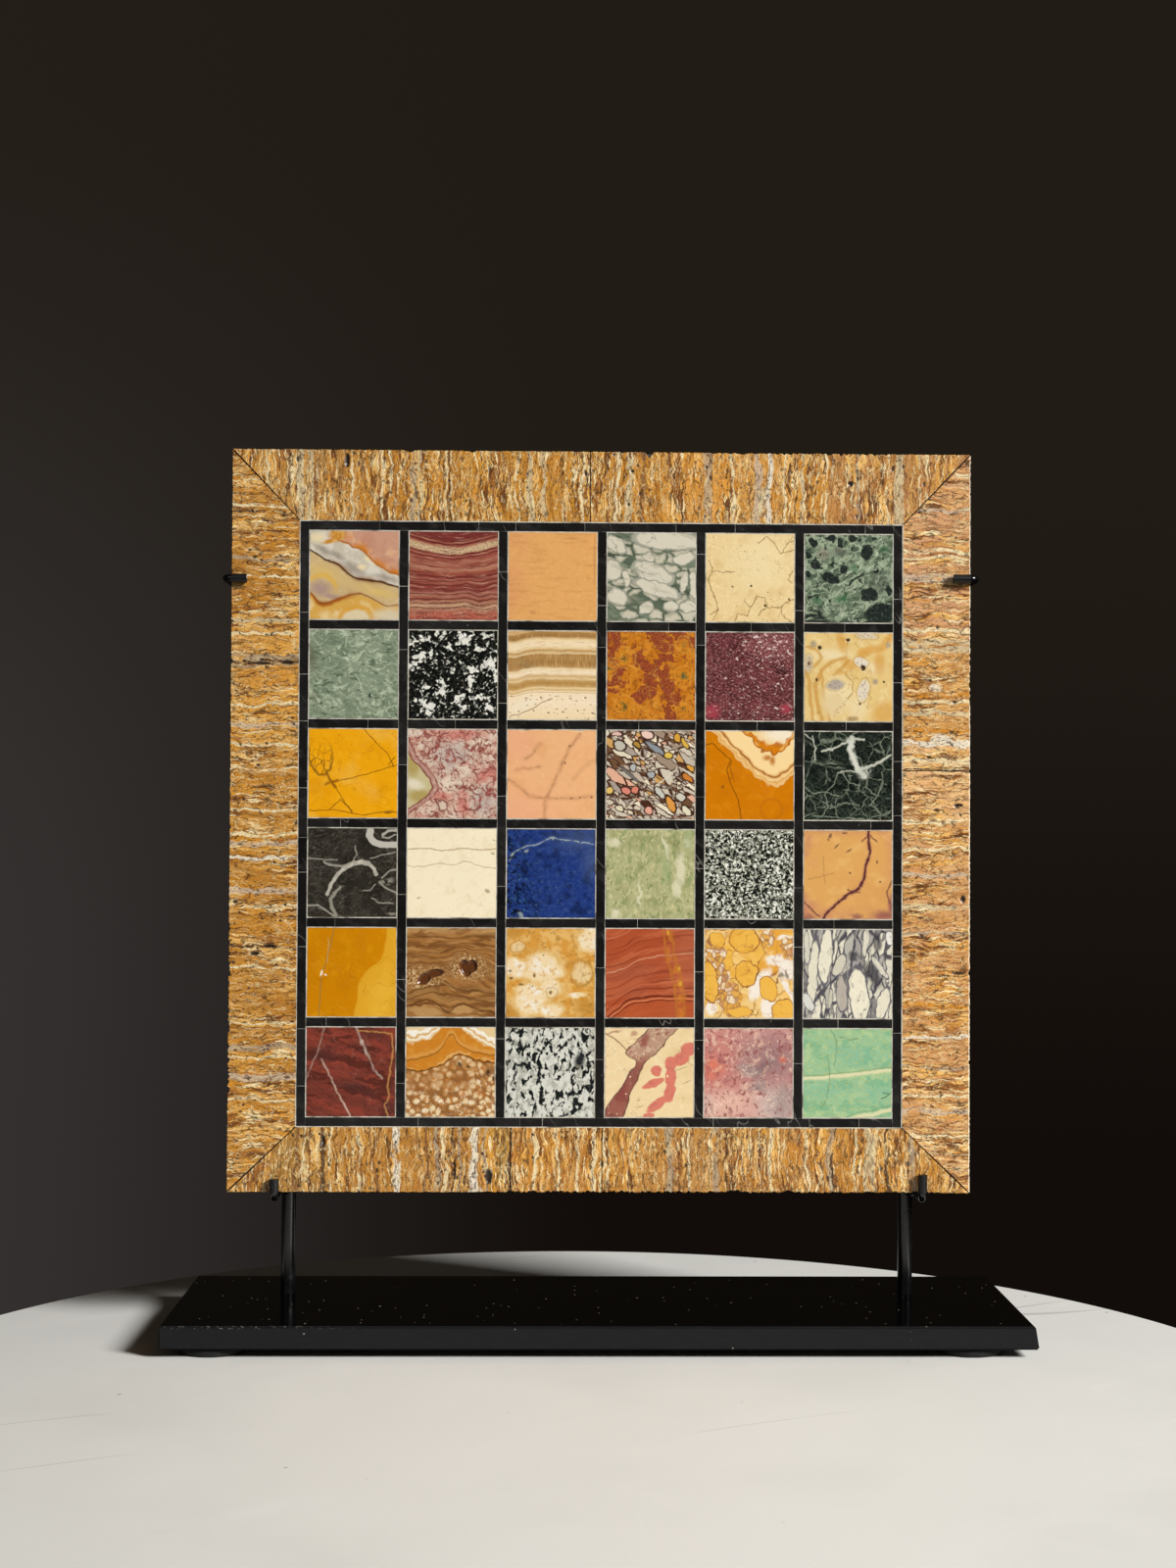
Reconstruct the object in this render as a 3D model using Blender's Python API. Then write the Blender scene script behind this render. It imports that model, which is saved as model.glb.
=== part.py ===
"""A square tablet of marble specimens, held upright on a black steel stand.

Thirty-six sawn squares of different stones are laid flush in a lattice of narrow black marble
strips. A mitred border of banded onyx-travertine frames them, and a plain stone slab backs the
whole. The tablet sits on two J-shaped hooks and is steadied by two side clips. Each hook and
clip is a thin rod brazed to a round post, and the two posts stand in holes in a thick steel
plate on four round felt pads.

Units are metres, +Z is up, +X runs along the plate and the tablet faces -Y. The origin is the
middle of the footprint, on the surface that the pads stand on.
"""
import math

import bmesh
import bpy
from mathutils import Vector

# ---- Tablet ------------------------------------------------------------------------------
TABLET_SIDE = 0.300
TABLET_THICKNESS = 0.020
TABLET_BOTTOM = 0.0575  # height of the tablet's lower edge above the surface
FACING_THICKNESS = 0.006  # specimens, strips and border, on the backing slab
BORDER_BOTTOM = 0.0264  # the border is a little narrower below the lattice than above it

ROWS = 6
COLUMNS = 6
SPECIMEN = 0.0360  # side of a specimen square
FILLET = 0.0035  # width of a black strip
JOINT = 0.0003  # width of a mortar joint, and the gap between touching pieces
ARRIS = 0.0002  # softened front edge of a sawn stone piece

# ---- Stand -------------------------------------------------------------------------------
PLATE_LENGTH = 0.340
PLATE_DEPTH = 0.095
PLATE_THICKNESS = 0.009
PLATE_ARRIS = 0.0006
PLATE_END_LEAN = 0.0015  # the right end is sawn out of square, wider at the bottom
PAD_RADIUS = 0.014
PAD_THICKNESS = 0.0032
POST_RADIUS = 0.003
POST_SPACING = 0.255
SOCKET_DEPTH = 0.006
ROD_RADIUS = 0.0016  # hooks and clips
ROD_BEND = 0.0025  # centre-line radius of a bend in them
HOOK_OFFSET = 0.0030  # a hook lies this much further out than its post
HOOK_TIP_LEFT = 0.0058  # reach of a hook's tip above the tablet's lower edge
HOOK_TIP_RIGHT = 0.0080
CLIP_DROP_LEFT = 0.0528  # clip axis below the tablet's upper edge
CLIP_DROP_RIGHT = 0.0510
CLIP_TIP_LEFT = 0.0068  # reach of a clip's tip over the tablet's face
CLIP_TIP_RIGHT = 0.0075

POST_SIDES = 20
ROD_RESOLUTION = 3  # gives a rod of ten sides
BEND_STEPS = 5

# ---- Worked out from the sizes above -----------------------------------------------------
HALF = TABLET_SIDE / 2
FRONT = -TABLET_THICKNESS / 2
BACK = TABLET_THICKNESS / 2
FACING_BACK = FRONT + FACING_THICKNESS - JOINT
TABLET_TOP = TABLET_BOTTOM + TABLET_SIDE
PITCH = SPECIMEN + 2 * JOINT + FILLET
LATTICE = COLUMNS * PITCH + FILLET
LATTICE_LEFT = -LATTICE / 2
LATTICE_BOTTOM = TABLET_BOTTOM + BORDER_BOTTOM + JOINT
LATTICE_TOP = LATTICE_BOTTOM + LATTICE
PLATE_BOTTOM = PAD_THICKNESS + JOINT
PLATE_TOP = PLATE_BOTTOM + PLATE_THICKNESS
POST_Y = BACK + JOINT + POST_RADIUS
ROD_CLEAR = JOINT + ROD_RADIUS  # rod axis from the stone that it touches

# ---- Stones: node name, base colour and roughness, row by row from the top left -----------
SPECIMENS = (
    (
        ("flowered_alabaster", (0.72, 0.60, 0.46), 0.22),
        ("red_banded_onyx", (0.36, 0.10, 0.11), 0.22),
        ("peach_marble", (0.70, 0.42, 0.20), 0.24),
        ("green_breccia", (0.40, 0.44, 0.39), 0.22),
        ("crackled_limestone", (0.76, 0.63, 0.38), 0.30),
        ("verde_antico", (0.08, 0.15, 0.11), 0.20),
    ),
    (
        ("grey_green_marble", (0.25, 0.36, 0.29), 0.24),
        ("black_white_granite", (0.20, 0.21, 0.21), 0.18),
        ("banded_alabaster", (0.62, 0.48, 0.29), 0.24),
        ("speckled_orange_alabaster", (0.48, 0.20, 0.04), 0.24),
        ("red_porphyry", (0.16, 0.04, 0.06), 0.18),
        ("golden_fossil_marble", (0.66, 0.50, 0.23), 0.26),
    ),
    (
        ("giallo_antico", (0.66, 0.34, 0.05), 0.22),
        ("rose_breccia", (0.52, 0.29, 0.27), 0.24),
        ("rosa_marble", (0.72, 0.42, 0.27), 0.24),
        ("polychrome_breccia", (0.34, 0.23, 0.19), 0.22),
        ("scalloped_orange_alabaster", (0.62, 0.29, 0.06), 0.22),
        ("veined_black_serpentine", (0.03, 0.04, 0.035), 0.18),
    ),
    (
        ("black_fossil_limestone", (0.04, 0.04, 0.045), 0.20),
        ("ivory_limestone", (0.79, 0.68, 0.51), 0.28),
        ("lapis_lazuli", (0.01, 0.04, 0.22), 0.22),
        ("pale_green_marble", (0.36, 0.40, 0.24), 0.26),
        ("grey_diorite", (0.16, 0.18, 0.17), 0.20),
        ("veined_yellow_marble", (0.60, 0.34, 0.14), 0.24),
    ),
    (
        ("golden_marble", (0.66, 0.36, 0.06), 0.22),
        ("brown_onyx", (0.28, 0.14, 0.05), 0.24),
        ("clouded_gold_alabaster", (0.74, 0.56, 0.31), 0.26),
        ("red_jasper", (0.40, 0.09, 0.04), 0.20),
        ("yellow_breccia", (0.68, 0.44, 0.16), 0.24),
        ("black_white_breccia", (0.50, 0.48, 0.42), 0.22),
    ),
    (
        ("red_levanto_marble", (0.20, 0.04, 0.03), 0.20),
        ("crested_orange_alabaster", (0.48, 0.29, 0.13), 0.26),
        ("flecked_gneiss", (0.38, 0.39, 0.38), 0.22),
        ("cream_red_marble", (0.64, 0.43, 0.29), 0.24),
        ("pink_violet_breccia", (0.42, 0.22, 0.21), 0.24),
        ("sea_green_marble", (0.15, 0.37, 0.24), 0.22),
    ),
)

# ---- Border joints, measured from the tablet's left or upper edge --------------------------
TOP_JOINTS = (0.145,)
BOTTOM_JOINTS = (0.114, 0.151)
RIGHT_JOINTS = (0.129,)

# ---- Pads: centre of each, in from the plate's nearer end and nearer long edge --------------
PADS = {
    "pad_front_left": (-1, -1, 0.019, 0.0155),
    "pad_front_right": (1, -1, 0.0246, 0.0155),
    "pad_back_left": (-1, 1, 0.020, 0.0165),
    "pad_back_right": (1, 1, 0.023, 0.0165),
}


def clear_scene():
    for thing in list(bpy.data.objects):
        bpy.data.objects.remove(thing, do_unlink=True)


def finish_material(name, colour, roughness, metallic=0.0):
    """A Principled material of one finish."""
    material = bpy.data.materials.new(name)
    material.use_nodes = True
    shader = material.node_tree.nodes["Principled BSDF"]
    shader.inputs["Base Color"].default_value = (*colour, 1.0)
    shader.inputs["Roughness"].default_value = roughness
    shader.inputs["Metallic"].default_value = metallic
    material.diffuse_color = (*colour, 1.0)
    return material


def place(name, mesh, material, parent):
    """Links a mesh as a named sub-part."""
    mesh.materials.append(material)
    part = bpy.data.objects.new(name, mesh)
    bpy.context.collection.objects.link(part)
    part.parent = parent
    return part


def mesh_from(bm, name):
    """Turns a finished bmesh into a mesh whose faces point out."""
    bmesh.ops.recalc_face_normals(bm, faces=bm.faces)
    mesh = bpy.data.meshes.new(name)
    bm.to_mesh(mesh)
    bm.free()
    return mesh


def slab_mesh(name, outline, front, back, arris=ARRIS):
    """A flat piece with the given outline in XZ, its front edges softened."""
    bm = bmesh.new()
    face = bm.faces.new([bm.verts.new((x, back, z)) for x, z in outline])
    sides = bmesh.ops.extrude_face_region(bm, geom=[face])["geom"]
    moved = [item for item in sides if isinstance(item, bmesh.types.BMVert)]
    bmesh.ops.translate(bm, verts=moved, vec=(0, front - back, 0))
    rim = [
        edge
        for edge in bm.edges
        if all(abs(vert.co.y - front) < JOINT / 10 for vert in edge.verts)
    ]
    bmesh.ops.bevel(bm, geom=rim, offset=arris, segments=1, affect="EDGES")
    return mesh_from(bm, name)


def rectangle(left, bottom, right, top):
    return [(left, bottom), (right, bottom), (right, top), (left, top)]


def inset_outline(outline, insets):
    """Moves each edge of a convex anticlockwise outline inwards by its own distance."""
    lines = []
    for index, inset in enumerate(insets):
        start = Vector(outline[index])
        along = (Vector(outline[(index + 1) % len(outline)]) - start).normalized()
        inward = Vector((-along.y, along.x))
        lines.append((start + inward * inset, along))
    corners = []
    for index, (point, along) in enumerate(lines):
        before, before_along = lines[index - 1]
        cross = before_along.x * along.y - before_along.y * along.x
        gap = point - before
        reach = (gap.x * along.y - gap.y * along.x) / cross
        corners.append(tuple(before + before_along * reach))
    return corners


def cell_corner(row, column):
    """Lower left corner of a specimen square; row 0 is the top one."""
    left = LATTICE_LEFT + FILLET + JOINT + column * PITCH
    bottom = LATTICE_TOP - (row + 1) * PITCH + JOINT
    return left, bottom


def build_specimens(parent):
    for row, stones in enumerate(SPECIMENS):
        for column, (stone, colour, roughness) in enumerate(stones):
            name = f"specimen_{row + 1}{column + 1}_{stone}"
            left, bottom = cell_corner(row, column)
            outline = rectangle(left, bottom, left + SPECIMEN, bottom + SPECIMEN)
            mesh = slab_mesh(name, outline, FRONT, FACING_BACK)
            place(name, mesh, finish_material(stone, colour, roughness), parent)


def build_outer_strips(parent, material):
    """Left and right strips run the full height, and the other two lie between them."""
    right = -LATTICE_LEFT
    inner = right - FILLET - JOINT
    outlines = {
        "strip_left": rectangle(LATTICE_LEFT, LATTICE_BOTTOM, LATTICE_LEFT + FILLET, LATTICE_TOP),
        "strip_right": rectangle(right - FILLET, LATTICE_BOTTOM, right, LATTICE_TOP),
        "strip_top": rectangle(-inner, LATTICE_TOP - FILLET, inner, LATTICE_TOP),
        "strip_bottom": rectangle(-inner, LATTICE_BOTTOM, inner, LATTICE_BOTTOM + FILLET),
    }
    for name, outline in outlines.items():
        place(name, slab_mesh(name, outline, FRONT, FACING_BACK), material, parent)


def bar_edges(start, count):
    """Positions of the edges of the inner bars, with the lattice's inner limits at each end."""
    edges = [start + FILLET + JOINT]
    for index in range(1, count):
        edges += [start + index * PITCH, start + index * PITCH + FILLET]
    return edges + [start + count * PITCH - JOINT]


def build_inner_lattice(parent, material):
    """The inner black strips as one crossed lattice, since each is too small for its own node."""
    name = "strips_inner_lattice"
    xs = bar_edges(LATTICE_LEFT, COLUMNS)
    zs = bar_edges(LATTICE_BOTTOM, ROWS)
    bm = bmesh.new()
    verts = {}

    def vert(i, j):
        if (i, j) not in verts:
            verts[i, j] = bm.verts.new((xs[i], FACING_BACK, zs[j]))
        return verts[i, j]

    for i in range(len(xs) - 1):
        for j in range(len(zs) - 1):
            if i % 2 or j % 2:  # odd stretches are bars, even ones are specimens
                bm.faces.new([vert(i, j), vert(i + 1, j), vert(i + 1, j + 1), vert(i, j + 1)])
    grown = bmesh.ops.extrude_face_region(bm, geom=list(bm.faces))["geom"]
    moved = [item for item in grown if isinstance(item, bmesh.types.BMVert)]
    bmesh.ops.translate(bm, verts=moved, vec=(0, FRONT - FACING_BACK, 0))
    place(name, mesh_from(bm, name), material, parent)


def border_outlines():
    """Outline of each border piece, mitred at the corners and cut across at its joints."""
    inner = -LATTICE_LEFT + JOINT
    inner_top = LATTICE_TOP + JOINT
    inner_bottom = LATTICE_BOTTOM - JOINT
    half_joint = JOINT / 2
    outlines = {}

    def run(names, cuts, place_cut, start, end):
        """Cuts one side of the border; start and end are its outer and inner mitre points."""
        stations = [start] + [place_cut(cut) for cut in cuts] + [end]
        for name, (outer_a, inner_a), (outer_b, inner_b) in zip(names, stations, stations[1:]):
            corners = [outer_a, outer_b, inner_b, inner_a]
            outlines[name] = inset_outline(corners, (0, half_joint, 0, half_joint))

    top_left = ((-HALF, TABLET_TOP), (-inner, inner_top))
    top_right = ((HALF, TABLET_TOP), (inner, inner_top))
    bottom_left = ((-HALF, TABLET_BOTTOM), (-inner, inner_bottom))
    bottom_right = ((HALF, TABLET_BOTTOM), (inner, inner_bottom))
    run(
        ("border_bottom_left", "border_bottom_middle", "border_bottom_right"),
        BOTTOM_JOINTS,
        lambda cut: ((cut - HALF, TABLET_BOTTOM), (cut - HALF, inner_bottom)),
        bottom_left,
        bottom_right,
    )
    run(
        ("border_right_lower", "border_right_upper"),
        RIGHT_JOINTS,
        lambda cut: ((HALF, TABLET_TOP - cut), (inner, TABLET_TOP - cut)),
        bottom_right,
        top_right,
    )
    run(
        ("border_top_right", "border_top_left"),
        TOP_JOINTS,
        lambda cut: ((cut - HALF, TABLET_TOP), (cut - HALF, inner_top)),
        top_right,
        top_left,
    )
    run(("border_left",), (), None, top_left, bottom_left)
    return outlines


def build_border(parent):
    for name, outline in border_outlines().items():
        material = finish_material(name, (0.50, 0.28, 0.10), 0.30)
        place(name, slab_mesh(name, outline, FRONT, FACING_BACK), material, parent)


def build_backing(parent):
    outline = rectangle(-HALF, TABLET_BOTTOM, HALF, TABLET_TOP)
    mesh = slab_mesh("backing_slab", outline, BACK, FRONT + FACING_THICKNESS, 0.0006)
    place("backing_slab", mesh, finish_material("backing", (0.10, 0.10, 0.10), 0.6), parent)


def disc_mesh(name, centre, radius, bottom, top, sides):
    """An upright cylinder."""
    bm = bmesh.new()
    bmesh.ops.create_cone(
        bm, cap_ends=True, segments=sides, radius1=radius, radius2=radius, depth=top - bottom
    )
    middle = Vector((centre[0], centre[1], (bottom + top) / 2))
    bmesh.ops.translate(bm, verts=bm.verts, vec=middle)
    mesh = mesh_from(bm, name)
    mesh.shade_smooth()
    mesh.set_sharp_from_angle(angle=math.radians(40))
    return mesh


def add_boolean(part, cutter_or_piece, operation):
    modifier = part.modifiers.new(operation.lower(), "BOOLEAN")
    modifier.operation = operation
    modifier.solver = "EXACT"
    modifier.object = cutter_or_piece


def helper(name, mesh, parent):
    """A cutter, or a piece that a union takes in; the build leaves it out."""
    guide = bpy.data.objects.new(name, mesh)
    guide.hide_render = True
    guide.display_type = "WIRE"
    bpy.context.collection.objects.link(guide)
    guide.parent = parent
    return guide


def build_plate(parent):
    """The thick steel plate, with a blind hole for each post."""
    bm = bmesh.new()
    bmesh.ops.create_cube(bm, size=1.0)
    bmesh.ops.scale(bm, verts=bm.verts, vec=(PLATE_LENGTH, PLATE_DEPTH, PLATE_THICKNESS))
    bmesh.ops.translate(bm, verts=bm.verts, vec=(0, 0, (PLATE_BOTTOM + PLATE_TOP) / 2))
    for vert in bm.verts:
        if vert.co.x > 0 and vert.co.z > PLATE_BOTTOM + PLATE_THICKNESS / 2:
            vert.co.x -= PLATE_END_LEAN
    bmesh.ops.bevel(bm, geom=list(bm.edges), offset=PLATE_ARRIS, segments=2, affect="EDGES")
    steel = finish_material("base_steel", (0.012, 0.012, 0.013), 0.3)
    plate = place("base_plate", mesh_from(bm, "base_plate"), steel, parent)
    for side, word in ((-1, "left"), (1, "right")):
        name = f"cutter_socket_{word}"
        centre = (side * POST_SPACING / 2, POST_Y)
        mesh = disc_mesh(
            name,
            centre,
            POST_RADIUS + JOINT,
            PLATE_TOP - SOCKET_DEPTH,
            PLATE_TOP + PLATE_THICKNESS,
            POST_SIDES,
        )
        add_boolean(plate, helper(name, mesh, parent), "DIFFERENCE")


def build_pads(parent):
    felt = finish_material("felt", (0.02, 0.02, 0.02), 0.95)
    for name, (side, row, from_end, from_edge) in PADS.items():
        centre = (side * (PLATE_LENGTH / 2 - from_end), row * (PLATE_DEPTH / 2 - from_edge))
        mesh = disc_mesh(name, centre, PAD_RADIUS, 0.0, PAD_THICKNESS, 28)
        place(name, mesh, felt, parent)


def bent_path(corners):
    """Points of a rod bent at each inner corner on a radius of ROD_BEND."""
    points = [Vector(corners[0])]
    for before, corner, after in zip(corners, corners[1:], corners[2:]):
        corner = Vector(corner)
        arriving = (corner - Vector(before)).normalized()
        leaving = (Vector(after) - corner).normalized()
        turn = arriving.angle(leaving)
        setback = ROD_BEND * math.tan(turn / 2)
        start = corner - arriving * setback
        inward = (leaving - arriving).normalized()
        centre = corner + inward * ROD_BEND / math.cos(turn / 2)
        spoke = start - centre
        axis = arriving.cross(leaving).normalized()
        for step in range(BEND_STEPS + 1):
            angle = turn * step / BEND_STEPS
            points.append(
                centre + spoke * math.cos(angle) + axis.cross(spoke) * math.sin(angle)
            )
    return points + [Vector(corners[-1])]


def rod_mesh(name, corners):
    """A round rod along a bent path, with square-cut ends."""
    curve = bpy.data.curves.new(name, "CURVE")
    curve.dimensions = "3D"
    curve.bevel_depth = ROD_RADIUS
    curve.bevel_resolution = ROD_RESOLUTION
    curve.use_fill_caps = True
    points = bent_path(corners)
    spline = curve.splines.new("POLY")
    spline.points.add(len(points) - 1)
    for point, place_at in zip(spline.points, points):
        point.co = (*place_at, 1.0)
    carrier = bpy.data.objects.new(name, curve)
    bpy.context.collection.objects.link(carrier)
    mesh = bpy.data.meshes.new_from_object(carrier)
    bpy.data.objects.remove(carrier, do_unlink=True)
    bm = bmesh.new()
    bm.from_mesh(mesh)
    bmesh.ops.remove_doubles(bm, verts=bm.verts, dist=0.00001)
    bmesh.ops.recalc_face_normals(bm, faces=bm.faces)
    bm.to_mesh(mesh)
    bm.free()
    mesh.materials.clear()
    return mesh


def build_armature(side, word, hook_tip, clip_drop, clip_tip, material, parent):
    """Post, hook and clip of one side, brazed into a single piece."""
    post_x = side * POST_SPACING / 2
    hook_x = post_x + side * HOOK_OFFSET
    hook_z = TABLET_BOTTOM - ROD_CLEAR
    clip_x = side * (HALF + ROD_CLEAR)
    clip_z = TABLET_TOP - clip_drop
    face_y = FRONT - ROD_CLEAR
    name = f"armature_{word}"
    post = place(
        name,
        disc_mesh(
            name,
            (post_x, POST_Y),
            POST_RADIUS,
            PLATE_TOP - SOCKET_DEPTH + JOINT,
            clip_z + ROD_RADIUS,
            POST_SIDES,
        ),
        material,
        parent,
    )
    hook = rod_mesh(
        f"hook_{word}",
        [
            (post_x, POST_Y, hook_z),
            (hook_x, POST_Y - 1.4 * HOOK_OFFSET, hook_z),
            (hook_x, face_y, hook_z),
            (hook_x, face_y, TABLET_BOTTOM + hook_tip),
        ],
    )
    clip = rod_mesh(
        f"clip_{word}",
        [
            (post_x, POST_Y, clip_z),
            (clip_x, POST_Y, clip_z),
            (clip_x, face_y, clip_z),
            (side * (HALF - clip_tip), face_y, clip_z),
        ],
    )
    add_boolean(post, helper(f"union_hook_{word}", hook, parent), "UNION")
    add_boolean(post, helper(f"union_clip_{word}", clip, parent), "UNION")


def build():
    clear_scene()
    tablet = bpy.data.objects.new("tablet", None)
    stand = bpy.data.objects.new("stand", None)
    for group in (tablet, stand):
        bpy.context.collection.objects.link(group)

    build_specimens(tablet)
    black_marble = finish_material("black_marble", (0.015, 0.016, 0.018), 0.25)
    build_outer_strips(tablet, black_marble)
    build_inner_lattice(tablet, black_marble)
    build_border(tablet)
    build_backing(tablet)

    build_plate(stand)
    build_pads(stand)
    black_steel = finish_material("black_steel", (0.012, 0.012, 0.013), 0.4)
    for side, word, hook_tip, clip_drop, clip_tip in (
        (-1, "left", HOOK_TIP_LEFT, CLIP_DROP_LEFT, CLIP_TIP_LEFT),
        (1, "right", HOOK_TIP_RIGHT, CLIP_DROP_RIGHT, CLIP_TIP_RIGHT),
    ):
        build_armature(side, word, hook_tip, clip_drop, clip_tip, black_steel, stand)


build()
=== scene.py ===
# %% [markdown]
# # A marble specimen tablet on its stand
# The object is a square tablet of thirty-six polished stones, set in a lattice of black marble
# strips and framed by a mitred border of banded travertine. Two black steel posts carry it on a
# heavy plate. Its construction is already packed as a model with one named node for each piece.
# This lesson dresses that model: it gives each stone its own pattern, wears the edges, fills the
# joints with mortar and lights the whole. We start by loading the frame, because every size and
# place below is read from it.

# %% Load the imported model
import math
import random

import bmesh
import bpy
import numpy as np
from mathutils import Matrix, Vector


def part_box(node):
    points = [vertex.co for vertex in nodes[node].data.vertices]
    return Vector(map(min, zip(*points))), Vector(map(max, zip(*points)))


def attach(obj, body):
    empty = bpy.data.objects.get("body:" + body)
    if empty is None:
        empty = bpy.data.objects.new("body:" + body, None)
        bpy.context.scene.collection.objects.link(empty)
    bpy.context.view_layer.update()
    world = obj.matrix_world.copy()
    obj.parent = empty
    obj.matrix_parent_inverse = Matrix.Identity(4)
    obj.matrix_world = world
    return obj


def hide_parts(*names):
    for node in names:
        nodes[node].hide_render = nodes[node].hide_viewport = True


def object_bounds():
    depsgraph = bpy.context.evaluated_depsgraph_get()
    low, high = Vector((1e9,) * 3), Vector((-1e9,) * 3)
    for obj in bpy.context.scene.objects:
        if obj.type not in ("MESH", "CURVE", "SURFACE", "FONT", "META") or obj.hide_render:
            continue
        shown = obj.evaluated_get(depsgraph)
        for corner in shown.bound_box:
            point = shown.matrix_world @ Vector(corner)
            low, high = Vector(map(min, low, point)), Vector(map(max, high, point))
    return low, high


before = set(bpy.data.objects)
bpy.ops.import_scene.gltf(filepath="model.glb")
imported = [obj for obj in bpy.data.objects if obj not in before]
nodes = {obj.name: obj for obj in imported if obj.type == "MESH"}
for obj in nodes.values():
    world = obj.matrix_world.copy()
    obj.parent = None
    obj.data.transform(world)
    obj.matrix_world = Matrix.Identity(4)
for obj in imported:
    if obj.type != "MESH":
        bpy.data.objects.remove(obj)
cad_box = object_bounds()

MM = 0.001
SHARP = math.radians(35)  # edges that turn by more than this stay sharp
print(f"loaded {len(nodes)} nodes; the object measures "
      + " x ".join(f"{(high - low) / MM:.1f}" for low, high in zip(*cad_box)) + " mm")

# %% [markdown]
# Three planes matter on the tablet: the polished face, the back of the thin facing, and the back
# of the slab. We read them from the boxes of nodes that lie there. The side of one specimen is
# the unit in which the stone patterns are drawn, so a size of 0.1 is a tenth of a square.

# %% Read the main planes and sizes
SPECIMENS = {name.split("_", 2)[2]: name for name in sorted(nodes) if name.startswith("specimen")}
BORDERS = sorted(name for name in nodes if name.startswith("border"))
PADS = sorted(name for name in nodes if name.startswith("pad_"))
first_low, first_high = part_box("specimen_11_flowered_alabaster")
slab_low, slab_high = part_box("backing_slab")
lattice_low, lattice_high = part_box("strip_left")[0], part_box("strip_right")[1]
FACE = first_low[1]
FACING_BACK = first_high[1]
SIDE = first_high[0] - first_low[0]
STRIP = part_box("strip_left")[1][0] - lattice_low[0]
JOINT = first_low[0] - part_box("strip_left")[1][0]
PITCH = SIDE + 2 * JOINT + STRIP
print(f"{len(SPECIMENS)} specimens of {SIDE / MM:.1f} mm, strips {STRIP / MM:.1f} mm, "
      f"joints {JOINT / MM:.1f} mm")

# %% [markdown]
# A few small helpers are shared by everything below. One puts a mesh, a light or a camera into
# the scene. Two add a node to a tree and feed its sockets, which is all that shader and geometry
# nodes need. The last two read rows of numbers, because stones have many small marks, and a row
# such as "50 20 4 3 45" (x, y, half width, half height and turn) is easy to read and to correct.

# %% Shared helpers


def put(name, data):
    """Makes an object of a mesh, a light or a camera and puts it into the scene."""
    piece = bpy.data.objects.new(name, data)
    bpy.context.collection.objects.link(piece)
    return piece


def baked(name, bm):
    """Turns a BMesh into a mesh and frees it."""
    mesh = bpy.data.meshes.new(name)
    bm.to_mesh(mesh)
    bm.free()
    return mesh


def feed(tree, socket, value):
    """Links a socket to a Field, a Place or another socket, or sets it to a plain value."""
    value = getattr(value, "socket", value)
    if isinstance(value, bpy.types.NodeSocket):
        tree.links.new(value, socket)
    elif value is not None:
        socket.default_value = value


def add_node(tree, kind, *inputs, **settings):
    """Adds a node and feeds its first sockets in order, or named ones from a dict."""
    node = tree.nodes.new(kind)
    for name, value in settings.items():
        setattr(node, name, value)
    for index, value in enumerate(inputs):
        for key, item in (value.items() if isinstance(value, dict) else [(index, value)]):
            feed(tree, node.inputs[key], item)
    return node


def rows(text):
    """Reads "14 .4 cream, 27.5 1.4 d3c8b4" as rows of numbers, words and colour codes."""
    def read(word):
        return word if word.isalpha() or (len(word) == 6 and word.isalnum()) else float(word)
    return [[read(word) for word in row.split()] for row in text.split(",") if row]


def marks(text):
    """Rows that start with up to four places and sizes in hundredths of a square."""
    return [[number / 100 for number in row[:4]] + row[4:] for row in rows(text)]


print("a mark reads as", marks("50 20 4 3 45")[0])

# %% [markdown]
# A stone's pattern is a sum of noises, cells, bands and lines. In the shader editor that is a
# web of Math nodes. Written as Python it reads better if numbers that vary over the surface can
# be added and compared like plain numbers, so we wrap a node socket in a small class. Each
# operation on a `Field` adds one node to the stone's tree.

# %% Fields: numbers that vary over a stone


class Field:
    """A number that varies over a stone. Arithmetic on it adds Math nodes."""

    def __init__(self, stone, socket):
        self.stone, self.socket = stone, socket

    def math(self, operation, *others):
        return Field(self.stone, self.stone.node("ShaderNodeMath", self, *others,
                                                 operation=operation).outputs[0])

    def __add__(self, other):
        return self.math("ADD", other)

    def __sub__(self, other):
        return self.math("SUBTRACT", other)

    def __mul__(self, other):
        return self.math("MULTIPLY", other)

    def __neg__(self):
        return self * -1.0

    def __abs__(self):
        return self.math("ABSOLUTE")

    def least(self, other):
        return self.math("MINIMUM", other)

    def most(self, other):
        return self.math("MAXIMUM", other)

    def waves(self, length):
        """Swings from 0 to 1 and back over each length."""
        return (self * (2 * math.pi / length)).math("SINE") * 0.5 + 0.5

    def rise(self, low, high):
        """0 below low, 1 above high, smooth between."""
        node = self.stone.node("ShaderNodeMapRange", self, low, high,
                               interpolation_type="SMOOTHSTEP")
        return Field(self.stone, node.outputs[0])

    def fall(self, low, high):
        return -self.rise(low, high) + 1.0


# %% [markdown]
# The second helper is a `Place`: where we are on the stone, with x to the right, y down and z
# into it. It offers the textures of a mason's vocabulary. Clouds are noise, lumps are Voronoi
# cells, a stroke is the distance to a broken line, and a warped place makes every straight line
# drawn on it wander as a vein does. A Mapping node of type Texture turns and stretches a pattern.

# %% Places: where we are on a stone


FLAT = 1e6  # so large a scale that depth into the stone doesn't count


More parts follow.
